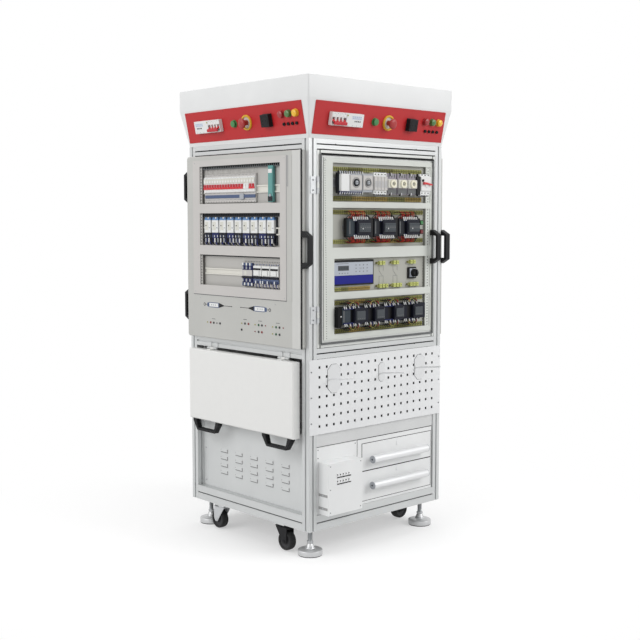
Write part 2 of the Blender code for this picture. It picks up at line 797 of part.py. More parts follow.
overlay_door("right_door", "right", right_hand, cut=[[pressed_field()]],
             add=[[edge_bridge(right_hand, left_handle_level, sunk_feet)]])
overlay_door("rear_door", "rear", left_hand, cut=[[pressed_field()]],
             add=[[bridge(rear_handle_x, overlay_front, level, sunk_feet) for level in rear_handle_levels]])

# Front door: a profile frame inside the posts, hinged on the front left post
door_gap = 0.002
door_profile = 0.030
door_half = opening_half - door_gap
door_low = middle_beam_top + door_gap
door_high = top_beam_bottom - door_gap
front_hinge_levels = (cabinet_level(0.1719), cabinet_level(0.8222))
front_leaf_post = 0.030
front_leaf_door = 0.021
front_pin_x = -opening_half + door_gap / 2
front_pin_y = -column_half - mate_gap - knuckle_radius

front_door_group = Group("front_door_hinge", "front", (front_pin_x, front_pin_y, door_low))


def door_frame_shape():
    """Four lengths of door profile welded at the corners: the stiles run through, the rails fit between."""
    y = -column_half + door_profile / 2
    stiles = [upright(sign * (door_half - door_profile / 2), y, door_low, door_high, door_profile, door_profile,
                      ("outer",)) for sign in (-1, 1)]
    reach = door_half - door_profile + weld_depth
    rails = [crossbar(-reach, reach, y, z, door_profile, door_profile, ("outer",))
             for z in (door_low + door_profile / 2, door_high - door_profile / 2)]
    return stiles, rails


def front_leaf(z0, z1, x0, x1, seat):
    return block(x0, x1, -column_half - mate_gap - leaf_thickness, -column_half + seat, z0, z1)


door_stiles, door_rails = door_frame_shape()
third = hinge_height / 3
door_leaves = []
door_knuckles = []
door_bores = []
for level in front_hinge_levels:
    door_leaves.append(front_leaf(level - hinge_height / 2, level + hinge_height / 2, front_pin_x + knuckle_radius * 3 / 2,
                                  front_pin_x + knuckle_radius + front_leaf_door, weld_depth))
    door_leaves.append(block(front_pin_x, front_pin_x + knuckle_radius * 3 / 2 + weld_depth,
                             -column_half - mate_gap - leaf_thickness, -column_half - mate_gap,
                             level - third / 2 + mate_gap, level + third / 2 - mate_gap))
    door_knuckles.append(rod((front_pin_x, front_pin_y, level), knuckle_radius, mate_gap - third / 2, third / 2 - mate_gap,
                             "z", knuckle_sides))
    door_bores.append(rod((front_pin_x, front_pin_y, level), pin_radius + running_clearance, -third, third, "z", pin_sides))
piece("front_door_frame", front_door_group, "aluminium", door_stiles,
      add=[door_rails, door_leaves[0::2], door_leaves[1::2], door_knuckles], cut=[door_bores])

for name, level in zip(("front_hinge_lower", "front_hinge_upper"), front_hinge_levels):
    pins, ends = hinge_knuckles(front_pin_x, front_pin_y, level)
    leaf = front_leaf(level - hinge_height / 2, level + hinge_height / 2, front_pin_x - knuckle_radius - front_leaf_post,
                      front_pin_x - knuckle_radius * 3 / 2, -mate_gap)
    straps = [front_leaf(z0, z1, front_pin_x - knuckle_radius * 2, front_pin_x, -mate_gap)
              for z0, z1 in ((level - hinge_height / 2, level - third / 2 - mate_gap),
                             (level + third / 2 + mate_gap, level + hinge_height / 2))]
    piece(name, column, "steel", [leaf], add=[straps, ends, pins])

# Front door panel with four windows, and the plate of contactors behind it
front_panel_left = -0.8027 * column_half
front_panel_right = 0.8667 * column_half
front_panel_low = cabinet_level(0.0378)
front_panel_high = cabinet_level(0.9628)
front_panel_sheet = 0.002
front_panel_seat = mate_gap
front_window_right = 0.8093 * column_half
front_window_shares = ((-0.6773, 0.7412, 0.9376), (-0.6773, 0.5083, 0.7107),
                       (-0.6547, 0.2800, 0.4512), (-0.6547, 0.0650, 0.2435))
front_windows = [(left * column_half, cabinet_level(low), cabinet_level(high))
                 for left, low, high in front_window_shares]
front_plate_sheet = 0.002
front_plate_low = door_low + door_profile + mate_gap
front_plate_high = door_high - door_profile - mate_gap
front_plate_depth = 0.012
front_device_rows_shares = ((-0.6240, 0.7360, 0.8394, 0.0571), (-0.5120, 0.6213, 0.6078, 0.0544),
                            (-0.6400, -0.0693, 0.3769, 0.0597), (0.4960, 0.6080, 0.3603, 0.0279),
                            (-0.6000, 0.6720, 0.1539, 0.0518))
front_device_rows_depths = (0.044, 0.044, 0.010, 0.030, 0.044)
front_device_rows = device_rows(front_device_rows_shares, front_device_rows_depths)

front_sheet_back = -column_half - front_panel_seat
front_sheet_front = front_sheet_back - front_panel_sheet
front_window_cuts = [block(left, front_window_right, front_sheet_front - cut_overrun, front_sheet_back + cut_overrun, low,
                           high) for left, low, high in front_windows]
piece("front_door_panel", front_door_group, "white_paint",
      [block(front_panel_left, front_panel_right, front_sheet_front, front_sheet_back, front_panel_low,
             front_panel_high)], cut=[front_window_cuts])


def front_devices():
    """The device plate fits inside the door frame and carries the rows of devices."""
    plate_y = -column_half + front_plate_depth
    half = door_half - door_profile - mate_gap
    rows = [block(x0, x1, plate_y - deep, plate_y + weld_depth, z - tall, z + tall)
            for x0, x1, z, tall, deep in front_device_rows]
    piece("front_device_plate", front_door_group, "plate_grey",
          [block(-half, half, plate_y, plate_y + front_plate_sheet, front_plate_low, front_plate_high)], add=[rows])


front_devices()
front_handle_x = 0.8347 * column_half
front_handle_level = cabinet_level(0.5010)
handle_face = -column_half - front_panel_seat - front_panel_sheet
piece("front_door_handle", front_door_group, "black_plastic", [bridge(front_handle_x, handle_face, front_handle_level)])

# Folding table on the left side, hinged under the middle beam
table_side_gap = 0.004
table_half = opening_half - table_side_gap
table_drop = 0.010
table_top_edge = middle_beam_bottom - table_drop
table_height = 0.4872 * (middle_beam_bottom - base_beam_top)
table_thickness = 0.0395
table_standoff = 0.0050
table_ease = 0.004
table_hinge_places = (-0.6616 * table_half, 0.7100 * table_half)
table_leaf_depth = 0.022
table_leaf_rise = 0.018
table_pin_y = -column_half - mate_gap - knuckle_radius
table_pin_z = table_top_edge + mate_gap + knuckle_radius
table_back = -column_half - table_standoff
table_front = table_back - table_thickness
table_bottom = table_top_edge - table_height


def slab(x0, x1, y0, y1, z0, z1, ease):
    """An upright board with its front and back edges eased."""
    def ring(inset, y):
        return [(x0 + inset, y, z0 + inset), (x1 - inset, y, z0 + inset), (x1 - inset, y, z1 - inset),
                (x0 + inset, y, z1 - inset)]
    return lofted([ring(ease, y0), ring(0, y0 + ease), ring(0, y1 - ease), ring(ease, y1)])


def table_knuckle_ends(x):
    """Along x: the outer ends of the two fixed knuckles and, between them, the moving one."""
    low, high = x - hinge_height / 2, x + hinge_height / 2
    return (low, low + third - mate_gap), (low + third + mate_gap, high - third - mate_gap), (high - third + mate_gap, high)


table_group = Group("table_hinge", "left", (0, table_pin_y, table_pin_z))
beam_pins, beam_knuckles, beam_straps = [], [], []
table_leaves, table_knuckles, table_bores = [], [], []
for place in table_hinge_places:
    pins, ends = hinge_knuckles(place, table_pin_y, table_pin_z, "x")
    beam_pins += pins
    beam_knuckles += ends
    first, middle, last = table_knuckle_ends(place)
    for x0, x1 in (first, last):
        beam_straps.append(block(x0, x1, -column_half - mate_gap - leaf_thickness, -column_half + weld_depth,
                                 middle_beam_bottom + weld_depth, middle_beam_bottom + table_leaf_rise))
    table_knuckles.append(rod((place, table_pin_y, table_pin_z), knuckle_radius, middle[0] - place, middle[1] - place,
                              "x", knuckle_sides))
    table_leaves.append(block(middle[0], middle[1], table_pin_y - table_leaf_depth, table_pin_y,
                              table_top_edge - table_ease / 2, table_top_edge + mate_gap + leaf_thickness))
    table_bores.append(rod((place, table_pin_y, table_pin_z), pin_radius + running_clearance, -third, third, "x",
                           pin_sides))
beam_webs = []
for place in table_hinge_places:
    first, middle, last = table_knuckle_ends(place)
    for x0, x1 in (first, last):
        beam_webs.append(block(x0, x1, -column_half - mate_gap - leaf_thickness, -column_half - mate_gap,
                               table_pin_z, middle_beam_bottom + weld_depth * 2))
piece("middle_beam_left", left_side, "aluminium", [beam(middle_beam_level)],
      add=[beam_straps, beam_webs, beam_knuckles, beam_pins])
piece("table_top", table_group, "board_white",
      [slab(-table_half, table_half, table_front, table_back, table_bottom, table_top_edge, table_ease)],
      add=[table_leaves, table_knuckles], cut=[table_bores])

table_handle_places = (-0.6949 * table_half, 0.6737 * table_half)
table_handle_length = 0.174
table_handle_grip = 0.120
table_handle_reach = 0.0505
table_handle_y = (table_front + table_back) / 2


def table_handle(name, x):
    outline = bridge_outline(table_handle_length, table_handle_grip, table_handle_reach, handle_thickness)
    points = [(x + along, table_handle_y - handle_width / 2, table_bottom - mate_gap - out) for along, out in outline]
    piece(name, table_group, "black_plastic", [extruded(points, Vector((0, handle_width, 0)))])


table_handle("table_handle_rear", table_handle_places[0])
table_handle("table_handle_front", table_handle_places[1])

# Louvred cover under the table
cover_sheet = 0.0015
louvre_cover_depth = 0.034
louvre_cover_top = base_level(0.5054)
louvre_columns = 5
louvre_rows = 4
louvre_first_x = -0.5147 * column_half
louvre_pitch_x = 0.2624 * column_half
louvre_first_z = base_level(0.1261)
louvre_pitch_z = 0.0307
louvre_width = 0.045
louvre_height = 0.014
louvre_proud = 0.005
cover_front = -column_half + louvre_cover_depth


def louvre(x, z):
    """A pressed louvre: a lip that leans out to its lower edge."""
    low, high = z - louvre_height / 2, z + louvre_height / 2
    back = cover_front + weld_depth
    outline = [(x - louvre_width / 2, back, low), (x - louvre_width / 2, cover_front - louvre_proud, low),
               (x - louvre_width / 2, cover_front, high), (x - louvre_width / 2, back, high)]
    return extruded(outline, Vector((louvre_width, 0, 0)))


louvres = [louvre(louvre_first_x + column_index * louvre_pitch_x, louvre_first_z + row_index * louvre_pitch_z)
           for column_index in range(louvre_columns) for row_index in range(louvre_rows)]
piece("louvre_cover", left_side, "white_paint",
      [block(-beam_reach, beam_reach, cover_front, cover_front + cover_sheet, base_beam_top + mate_gap,
             louvre_cover_top)], add=[louvres])

# Cover of the lower right and rear sides, one sheet bent at the rear right corner
lower_cover_lap = 0.0135
lower_cover_low = frame_bottom + lower_cover_lap
lower_cover_high = middle_beam_bottom + base_beam_height / 2 - lower_cover_lap / 3
cover_outer = opening_half - mate_gap
cover_inner = cover_outer - cover_sheet
piece("lower_cover", column, "white_paint",
      [extruded([(cover_outer, -cover_outer, lower_cover_low), (cover_outer, cover_outer, lower_cover_low),
                 (-cover_outer, cover_outer, lower_cover_low), (-cover_outer, cover_inner, lower_cover_low),
                 (cover_inner, cover_inner, lower_cover_low), (cover_inner, -cover_outer, lower_cover_low)],
                Vector((0, 0, lower_cover_high - lower_cover_low)))])

# Perforated board and its pegs
board_edge = 0.001
board_half = column_half - board_edge
board_low = base_level(0.5202)
board_high = middle_beam_bottom - board_edge
board_sheet = 0.002
board_hole = 0.010
board_pitch = 0.038
board_columns = int(2 * board_half / board_pitch) - 1
board_rows = int((board_high - board_low) / board_pitch)
board_middle = (board_low + board_high) / 2
board_back = -column_half - mate_gap
board_front = board_back - board_sheet


def board_holes():
    holes = []
    for column_index in range(board_columns):
        for row_index in range(board_rows):
            x = (column_index - (board_columns - 1) / 2) * board_pitch
            z = board_middle + (row_index - (board_rows - 1) / 2) * board_pitch
            holes.append(block(x - board_hole / 2, x + board_hole / 2, board_front - cut_overrun,
                               board_back + cut_overrun, z - board_hole / 2, z + board_hole / 2))
    return holes


piece("tool_board", column, "white_paint",
      [block(-board_half, board_half, board_front, board_back, board_low, board_high)], cut=[board_holes()])

peg_sheet = 0.002
peg_rod_radius = 0.003
peg_rod_length = 0.136
peg_tilt = radians(6.5)
peg_sides = 8
peg_rod_inset = 0.008
peg_shares = {"peg_left": (-0.7493, 0.7751, 0.8664, 0.9571),
              "peg_middle": (0.0000, 0.8038, 0.8599, 0.9291),
              "peg_right": (0.5653, 0.7807, 0.8664, 0.9505)}
peg_widths = {"peg_left": 0.068, "peg_middle": 0.035, "peg_right": 0.063}
plate_corner_share = 0.3


def peg_plate(x0, x1, z0, z1):
    """A thin plate whose corners are cut off."""
    y = board_front - mate_gap
    cut = (x1 - x0) * plate_corner_share
    outline = [(x0 + cut, y, z0), (x1 - cut, y, z0), (x1, y, z0 + cut), (x1, y, z1 - cut), (x1 - cut, y, z1),
               (x0 + cut, y, z1), (x0, y, z1 - cut), (x0, y, z0 + cut)]
    return extruded(outline, Vector((0, -peg_sheet, 0)))


for name, (left, low, rod_height, high) in peg_shares.items():
    x0, x1 = left * column_half, left * column_half + peg_widths[name]
    z0, z1, rod_level = base_level(low), base_level(high), base_level(rod_height)
    start = board_front - mate_gap - peg_sheet
    x = x0 + peg_rod_inset
    shank = rod((x, start, rod_level), peg_rod_radius, -peg_rod_length, weld_depth, "y", peg_sides)
    piece(name, column, "steel", [peg_plate(x0, x1, z0, z1)], add=[[about(shank, -peg_tilt, "X", (x, start, rod_level))]])
peg_tip = start - peg_rod_length * cos(peg_tilt) - peg_rod_radius * cos(pi / peg_sides) * sin(peg_tilt)

# Fascia between tool board and drawers
fascia_low = base_level(0.4386)
fascia_high = base_level(0.5383)
fascia_setback = 0.005
fascia_front = -column_half + fascia_setback
fascia_return = 0.020
fascia_outline = [(fascia_front, fascia_low), (fascia_front + fascia_return, fascia_low),
                  (fascia_front + fascia_return, fascia_low + cover_sheet), (fascia_front + cover_sheet, fascia_low + cover_sheet),
                  (fascia_front + cover_sheet, fascia_high - cover_sheet),
                  (fascia_front + fascia_return, fascia_high - cover_sheet), (fascia_front + fascia_return, fascia_high),
                  (fascia_front, fascia_high)]
piece("front_fascia", column, "light_grey_paint",
      [extruded([(-beam_reach, y, z) for y, z in fascia_outline], Vector((2 * beam_reach, 0, 0)))])

# Drawer unit with two drawers
unit_left = -0.3000 * column_half
unit_right = 0.8800 * column_half
unit_head_gap = 0.003
unit_top = fascia_low - unit_head_gap
unit_depth = 0.430
unit_sheet = 0.0020
unit_front = fascia_front
unit_stile = 0.0275
drawer_left = unit_left + unit_stile
unit_edge = 0.006
drawer_right = unit_right - unit_edge
drawer_fronts = {"upper_drawer": (base_level(0.2218), base_level(0.4015)),
                 "lower_drawer": (base_level(0.0206), base_level(0.2152))}
drawer_gap = 0.0012
drawer_proud = 0.0010
drawer_sheet = 0.0020
drawer_box_depth = 0.400
drawer_box_inset = 0.0020
drawer_box_share = 0.80
runner_thickness = 0.003
runner_width = 0.013
unit_low = base_beam_top + mate_gap
divider_low = drawer_fronts["lower_drawer"][1] + drawer_gap
divider_high = drawer_fronts["upper_drawer"][0] - drawer_gap
unit_back = unit_front + unit_depth
unit_bays = [block(unit_left + unit_sheet, unit_right - unit_sheet, unit_front + unit_sheet, unit_back - unit_sheet, z0, z1)
             for z0, z1 in ((unit_low + unit_sheet, divider_low), (divider_high, unit_top - unit_sheet))]
unit_mouths = [block(drawer_left - drawer_gap, drawer_right + drawer_gap, unit_front - cut_overrun,
                     unit_front + unit_sheet + cut_overrun, z0 - drawer_gap, z1 + drawer_gap)
               for z0, z1 in drawer_fronts.values()]


def runners():
    """A ledge on each side wall under each drawer's tray."""
    ledges = []
    for z0, z1 in drawer_fronts.values():
        top = z0 + drawer_box_inset - mate_gap
        for wall, tray_side in ((unit_left + unit_sheet, drawer_left + drawer_box_inset),
                                (unit_right - unit_sheet, drawer_right - drawer_box_inset)):
            outward = -1 if wall < tray_side else 1
            ledges.append(block(wall + outward * weld_depth, tray_side - outward * runner_width,
                                unit_front + unit_sheet + weld_depth, unit_back - unit_sheet + weld_depth,
                                top - runner_thickness, top))
    return ledges


piece("drawer_unit", column, "white_paint",
      [block(unit_left, unit_right, unit_front, unit_back, unit_low, unit_top)], cut=[unit_bays, unit_mouths],
      inside=[runners()])

drawer_handle_inset = 0.0304
drawer_handle_left = drawer_left + drawer_handle_inset
drawer_handle_right = drawer_right - drawer_handle_inset * 5 / 3
drawer_handle_radius = 0.0155
drawer_handle_reach = 0.026
drawer_handle_levels = {"upper_drawer": base_level(0.2976), "lower_drawer": base_level(0.1240)}
drawer_handle_post = 0.006
drawer_handle_post_inset = 0.020
lock_place = 0.3173 * column_half
lock_levels = {"upper_drawer": base_level(0.3652), "lower_drawer": base_level(0.1888)}
lock_radius = 0.0085
lock_proud = 0.0025

for name, (z0, z1) in drawer_fronts.items():
    front = unit_front - drawer_proud
    back = front + drawer_sheet
    group = Group(f"{name}_slide", "front", ((drawer_left + drawer_right) / 2, front, (z0 + z1) / 2))
    box_top = z0 + (z1 - z0) * drawer_box_share
    box_left, box_right = drawer_left + drawer_box_inset, drawer_right - drawer_box_inset
    box_low = z0 + drawer_box_inset
    tray = block(box_left, box_right, back - weld_depth, back + drawer_box_depth, box_low, box_top)
    hollow = block(box_left + drawer_sheet, box_right - drawer_sheet, back, back + drawer_box_depth - drawer_sheet,
                   box_low + drawer_sheet, box_top + cut_overrun)
    lock = rod((lock_place, front, lock_levels[name]), lock_radius, -lock_proud, weld_depth, "y", small_sides)
    piece(name, group, "white_paint", [block(drawer_left, drawer_right, front, back, z0, z1)],
          add=[[tray, lock]], cut=[[hollow]])
    level = drawer_handle_levels[name]
    axis_y = front - drawer_handle_reach
    posts = [rod((x, axis_y, level), drawer_handle_post, 0, drawer_handle_reach - mate_gap, "y", small_sides)
             for x in (drawer_handle_left + drawer_handle_post_inset, drawer_handle_right - drawer_handle_post_inset)]
    piece(f"{name}_handle", group, "aluminium",
          [rod((drawer_handle_left, axis_y, level), drawer_handle_radius, 0, drawer_handle_right - drawer_handle_left,
               "x", round_sides)], add=[posts])

# Plate left of the drawers and the service box on it
plate_left = -opening_half + unit_edge / 4
plate_right = unit_left - unit_edge / 4
plate_high = unit_top
side_plate_back = unit_front + cover_sheet
service_left = -0.8627 * column_half
service_right = -0.3773 * column_half
service_low = base_level(0.0091)
service_high = base_level(0.3405)
service_back = unit_front - mate_gap
service_depth = 0.0583
service_front = service_back - service_depth
service_sheet = 0.002
piece("side_plate", column, "white_paint",
      [block(plate_left, plate_right, unit_front, side_plate_back, unit_low, plate_high)])


def pan(x0, x1, front, back, z0, z1, sheet):
    """A sheet-metal box that is open at its back."""
    def ring(inset, y):
        return [(x0 + inset, y, z0 + inset), (x1 - inset, y, z0 + inset), (x1 - inset, y, z1 - inset),
                (x0 + inset, y, z1 - inset)]
    return lofted([ring(sheet, front + sheet), ring(sheet, back), ring(0, back), ring(0, front)])


piece("service_box", column, "white_paint",
      [pan(service_left, service_right, service_front, service_back, service_low, service_high, service_sheet)])

# Mains inlet on the rear cover
inlet_half = 0.080
inlet_low = base_level(0.2168)
inlet_high = base_level(0.5136)
inlet_depth = 0.110
inlet_collar_radius = 0.036
inlet_collar_bore = 0.030
inlet_level = (inlet_low + inlet_high) / 2
inlet_back = -opening_half
inlet_front = inlet_back - inlet_depth
inlet_face = peg_tip
piece("power_inlet", rear_side, "light_grey_paint",
      [pan(-inlet_half, inlet_half, inlet_front, inlet_back, inlet_low, inlet_high, service_sheet * 2)],
      add=[[rod((0, inlet_front, inlet_level), inlet_collar_radius, inlet_face - inlet_front, weld_depth, "y",
                round_sides)]],
      cut=[[rod((0, inlet_front, inlet_level), inlet_collar_bore, inlet_face - inlet_front - cut_overrun,
                -weld_depth, "y", round_sides)]])

# Levelling feet
foot_disc_radius = 0.049
foot_top = 0.139
foot_profile_shares = ((0, 0.96), (0.02, 1.0), (0.158, 1.0), (0.182, 0.95), (0.198, 0.38), (0.340, 0.22))
for name, sign_x, sign_y in (("foot_front_left", -1, -1), ("foot_front_right", 1, -1), ("foot_rear_left", -1, 1),
                             ("foot_rear_right", 1, 1)):
    x, y = foot_place(sign_x, sign_y)
    profile = [(height * foot_top, radius * foot_disc_radius) for height, radius in foot_profile_shares]
    profile += [(profile[-1][0], foot_stem_radius), (foot_top, foot_stem_radius)]
    piece(name, Group(f"{name}_axis", "front", (x, y, 0)), "steel", [turned(profile, (x, y, 0), "z", round_sides)])

# Swivel casters, just clear of the floor while the column stands on its feet
wheel_radius = 0.0385
wheel_width = 0.032
wheel_edge = 0.004
wheel_clearance = 0.0025
caster_trail = 0.025
cheek_clearance = 0.0012
cheek_thickness = 0.003
crown_thickness = 0.006
crown_radius = 0.024
axle_radius = 0.004
axle_overhang = 0.002
axle_level = wheel_clearance + wheel_radius
crown_top = frame_bottom - caster_plate_thickness - mate_gap
crown_bottom = crown_top - crown_thickness
fork_height = crown_bottom - axle_level
cheek_inner = wheel_width / 2 + cheek_clearance
cheek_shares = ((1.00, 1.02), (-1.70, 1.02), (-1.70, 0.10), (-1.35, -0.16), (-0.80, -0.16), (-0.48, 0.07))


def caster(name, sign_x, sign_y, heading, finish_name):
    """A fork that turns on its kingpin, drawn about the kingpin at axle height, and a wheel on the axle."""
    swivel = Group(f"{name}_swivel", "front", (sign_x * caster_line, sign_y * caster_spread, axle_level),
                   swivel=heading, local=True)
    crown = rod((0, 0, 0), crown_radius, fork_height, fork_height + crown_thickness, "z", round_sides)
    kingpin = rod((0, 0, 0), kingpin_radius, fork_height + crown_thickness / 2,
                  frame_bottom + kingpin_height - axle_level, "z", small_sides)
    cheeks = []
    for x in (-cheek_inner - cheek_thickness, cheek_inner):
        outline = [(x, y * caster_trail, z * fork_height) for y, z in cheek_shares]
        cheeks.append(extruded(outline, Vector((cheek_thickness, 0, 0))))
    reach = cheek_inner + cheek_thickness + axle_overhang
    axle = rod((0, -caster_trail, 0), axle_radius, -reach, reach, "x", pin_sides)
    piece(f"{name}_fork", swivel, finish_name, [crown], add=[[kingpin], cheeks, [axle]])
    axle_group = swivel.moved_to(f"{name}_axle", (0, -caster_trail, 0))
    half = wheel_width / 2
    tread = [(-half, wheel_radius - wheel_edge), (wheel_edge - half, wheel_radius), (half - wheel_edge, wheel_radius),
             (half, wheel_radius - wheel_edge)]
    bore = rod((0, -caster_trail, 0), axle_radius + running_clearance, -half - cut_overrun, half + cut_overrun, "x",
               pin_sides)
    piece(f"{name}_wheel", axle_group, "rubber", [turned(tread, (0, -caster_trail, 0), "x", round_sides)], cut=[[bore]])


caster("caster_front_left", -1, -1, 0.0, "black_plastic")
caster("caster_rear_left", -1, 1, radians(180), "steel")
caster("caster_front_right", 1, -1, radians(-90), "black_plastic")
caster("caster_rear_right", 1, 1, radians(150), "black_plastic")
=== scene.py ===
"""Electrical fault training column, dressed for rendering.

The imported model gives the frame, and everything here is placed on it in metres.  Each side of the column
is drawn in its own coordinates (x to the right seen from outside, y inwards, z up) and turned into place.
On a sloping control panel z runs up the slope from its lower edge, and y into the hood.
"""
from itertools import product
from math import atan2, cos, pi, radians, sin, tan

import bmesh
import bpy
from mathutils import Matrix, Vector


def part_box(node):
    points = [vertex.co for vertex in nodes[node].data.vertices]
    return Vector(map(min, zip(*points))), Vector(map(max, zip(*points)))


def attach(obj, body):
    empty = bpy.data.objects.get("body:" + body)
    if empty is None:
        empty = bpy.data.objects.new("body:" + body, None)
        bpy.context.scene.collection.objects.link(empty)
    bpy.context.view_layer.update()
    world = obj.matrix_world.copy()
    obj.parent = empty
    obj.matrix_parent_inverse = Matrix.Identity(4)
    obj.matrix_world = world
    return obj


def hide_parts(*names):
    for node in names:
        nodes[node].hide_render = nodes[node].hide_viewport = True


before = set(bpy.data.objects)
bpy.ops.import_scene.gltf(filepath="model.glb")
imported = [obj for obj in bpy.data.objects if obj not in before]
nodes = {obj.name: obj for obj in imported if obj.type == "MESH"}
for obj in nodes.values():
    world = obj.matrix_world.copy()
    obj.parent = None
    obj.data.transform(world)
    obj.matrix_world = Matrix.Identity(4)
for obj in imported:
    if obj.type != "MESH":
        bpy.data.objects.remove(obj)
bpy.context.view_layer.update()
X, Y, Z = range(3)


def low(node, axis):
    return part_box(node)[0][axis]


def high(node, axis):
    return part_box(node)[1][axis]


# Main sizes, read from the frame
column_half = -low("post_front_left", X)
frame_bottom = low("post_front_left", Z)
profile_width = high("post_front_left", X) + column_half
opening_half = column_half - profile_width
middle_beam_bottom = low("middle_beam_front", Z)
hood_bottom = low("hood", Z)
hood_top = high("hood", Z)
hood_half = column_half + 0.0305
hood_break = hood_top - 0.0845
slope_tilt = atan2(hood_half - column_half, hood_break - hood_bottom)
side_turns = {"front": 0.0, "left": -pi / 2, "rear": pi, "right": pi / 2}

# Camera, lamps and floor
camera_lens = 61.164
camera_shift = (0.00095, -0.0203)
camera_place = (-3.1152, -3.3986, 1.3052)
camera_turn = (85.4045, 0.0, -42.7368)
lamps = (("key_lamp", (2.2, -4.2, 3.4), 3.2, 125.0), ("fill_lamp", (-4.6, 0.6, 2.8), 3.6, 100.0),
         ("top_lamp", (0.3, 0.6, 4.6), 3.4, 60.0))
lamp_target = (0, 0, 0.9)
surroundings_strength = 0.52
pure_white = (1, 1, 1, 1)
floor_reach = 30.0
floor_grey = (0.62, 0.62, 0.62, 1)
floor_lift = 0.42
clear_floor_from = 0.75
clear_floor_to = 1.60


def build_stage():
    """Camera, lamps, floor and white surroundings."""
    scene = bpy.context.scene
    scene.view_settings.view_transform = "Standard"
    camera_data = bpy.data.cameras.new("camera")
    camera_data.lens = camera_lens
    camera_data.shift_x, camera_data.shift_y = camera_shift
    camera = bpy.data.objects.new("camera", camera_data)
    camera.location = camera_place
    camera.rotation_euler = [radians(angle) for angle in camera_turn]
    scene.collection.objects.link(camera)
    scene.camera = camera

    for name, place, size, power in lamps:
        lamp_data = bpy.data.lights.new(name, "AREA")
        lamp_data.size = size
        lamp_data.energy = power
        lamp = bpy.data.objects.new(name, lamp_data)
        lamp.location = place
        lamp.rotation_euler = (Vector(lamp_target) - Vector(place)).to_track_quat("-Z", "Y").to_euler()
        scene.collection.objects.link(lamp)

    world = bpy.data.worlds.new("surroundings")
    scene.world = world
    world.use_nodes = True
    tree = world.node_tree
    tree.nodes.clear()
    soft = add_node(tree, "Background", {"Color": pure_white, "Strength": surroundings_strength})
    clear = add_node(tree, "Background", {"Color": pure_white, "Strength": 1.0})
    mix = add_node(tree, "MixShader", {0: seen_directly(tree), 1: soft.outputs[0], 2: clear.outputs[0]})
    add_node(tree, "OutputWorld", {"Surface": mix.outputs[0]})

    floor_mesh = bpy.data.meshes.new("floor")
    corners = [(-floor_reach, -floor_reach, 0), (floor_reach, -floor_reach, 0), (floor_reach, floor_reach, 0),
               (-floor_reach, floor_reach, 0)]
    floor_mesh.from_pydata(corners, [], [(0, 1, 2, 3)])
    floor = bpy.data.objects.new("floor", floor_mesh)
    scene.collection.objects.link(floor)
    floor_mesh.materials.append(floor_finish())


def add_node(tree, kind, inputs=None, operation=None, group=None):
    """A new shader node; each of its inputs is given a value, or the output of another node to link."""
    new = tree.nodes.new("ShaderNode" + kind)
    if operation:
        new.operation = operation
    if group:
        new.node_tree = group
    for socket, given in (inputs or {}).items():
        if isinstance(given, bpy.types.NodeSocket):
            tree.links.new(given, new.inputs[socket])
        else:
            new.inputs[socket].default_value = given
    return new


def seen_directly(tree):
    """1 for a ray from the camera or off gloss or through glass, 0 for a ray that gathers light."""
    ray = add_node(tree, "LightPath").outputs
    first = add_node(tree, "Math", {0: ray["Is Camera Ray"], 1: ray["Is Glossy Ray"]}, "MAXIMUM")
    second = add_node(tree, "Math", {0: first.outputs[0], 1: ray["Is Transmission Ray"]}, "MAXIMUM")
    return second.outputs[0]


def floor_finish():
    """Pale and matt, with the object's shadow, fading to pure white away from the column."""
    material = bpy.data.materials.new("pale_floor")
    material.use_nodes = True
    tree = material.node_tree
    tree.nodes.clear()
    direct = seen_directly(tree)
    matt = add_node(tree, "BsdfDiffuse", {"Color": floor_grey})
    lifted = add_node(tree, "Math", {0: direct, 1: floor_lift}, "MULTIPLY")
    lift = add_node(tree, "Emission", {"Color": pure_white, "Strength": lifted.outputs[0]})
    near = add_node(tree, "AddShader", {0: matt.outputs[0], 1: lift.outputs[0]})
    far = add_node(tree, "Emission", {"Color": pure_white, "Strength": 1.0})
    place = add_node(tree, "TexCoord")
    distance = add_node(tree, "VectorMath", {0: place.outputs["Object"]}, "LENGTH")
    share = add_node(tree, "MapRange", {"Value": distance.outputs["Value"], "From Min": clear_floor_from,
                                        "From Max": clear_floor_to})
    share.interpolation_type = "SMOOTHSTEP"
    seen_far = add_node(tree, "Math", {0: share.outputs["Result"], 1: direct}, "MULTIPLY")
    both = add_node(tree, "MixShader", {0: seen_far.outputs[0], 1: near.outputs[0], 2: far.outputs[0]})
    add_node(tree, "OutputMaterial", {"Surface": both.outputs[0]})
    return material


# Shared effects
def effect(name, inputs, outputs):
    """An empty node group with its sockets, and its input and output nodes."""
    tree = bpy.data.node_groups.new(name, "ShaderNodeTree")
    for label, kind, value in inputs:
        tree.interface.new_socket(label, in_out="INPUT", socket_type=kind).default_value = value
    for label, kind in outputs:
        tree.interface.new_socket(label, in_out="OUTPUT", socket_type=kind)
    return tree, tree.nodes.new("NodeGroupInput").outputs, tree.nodes.new("NodeGroupOutput").inputs


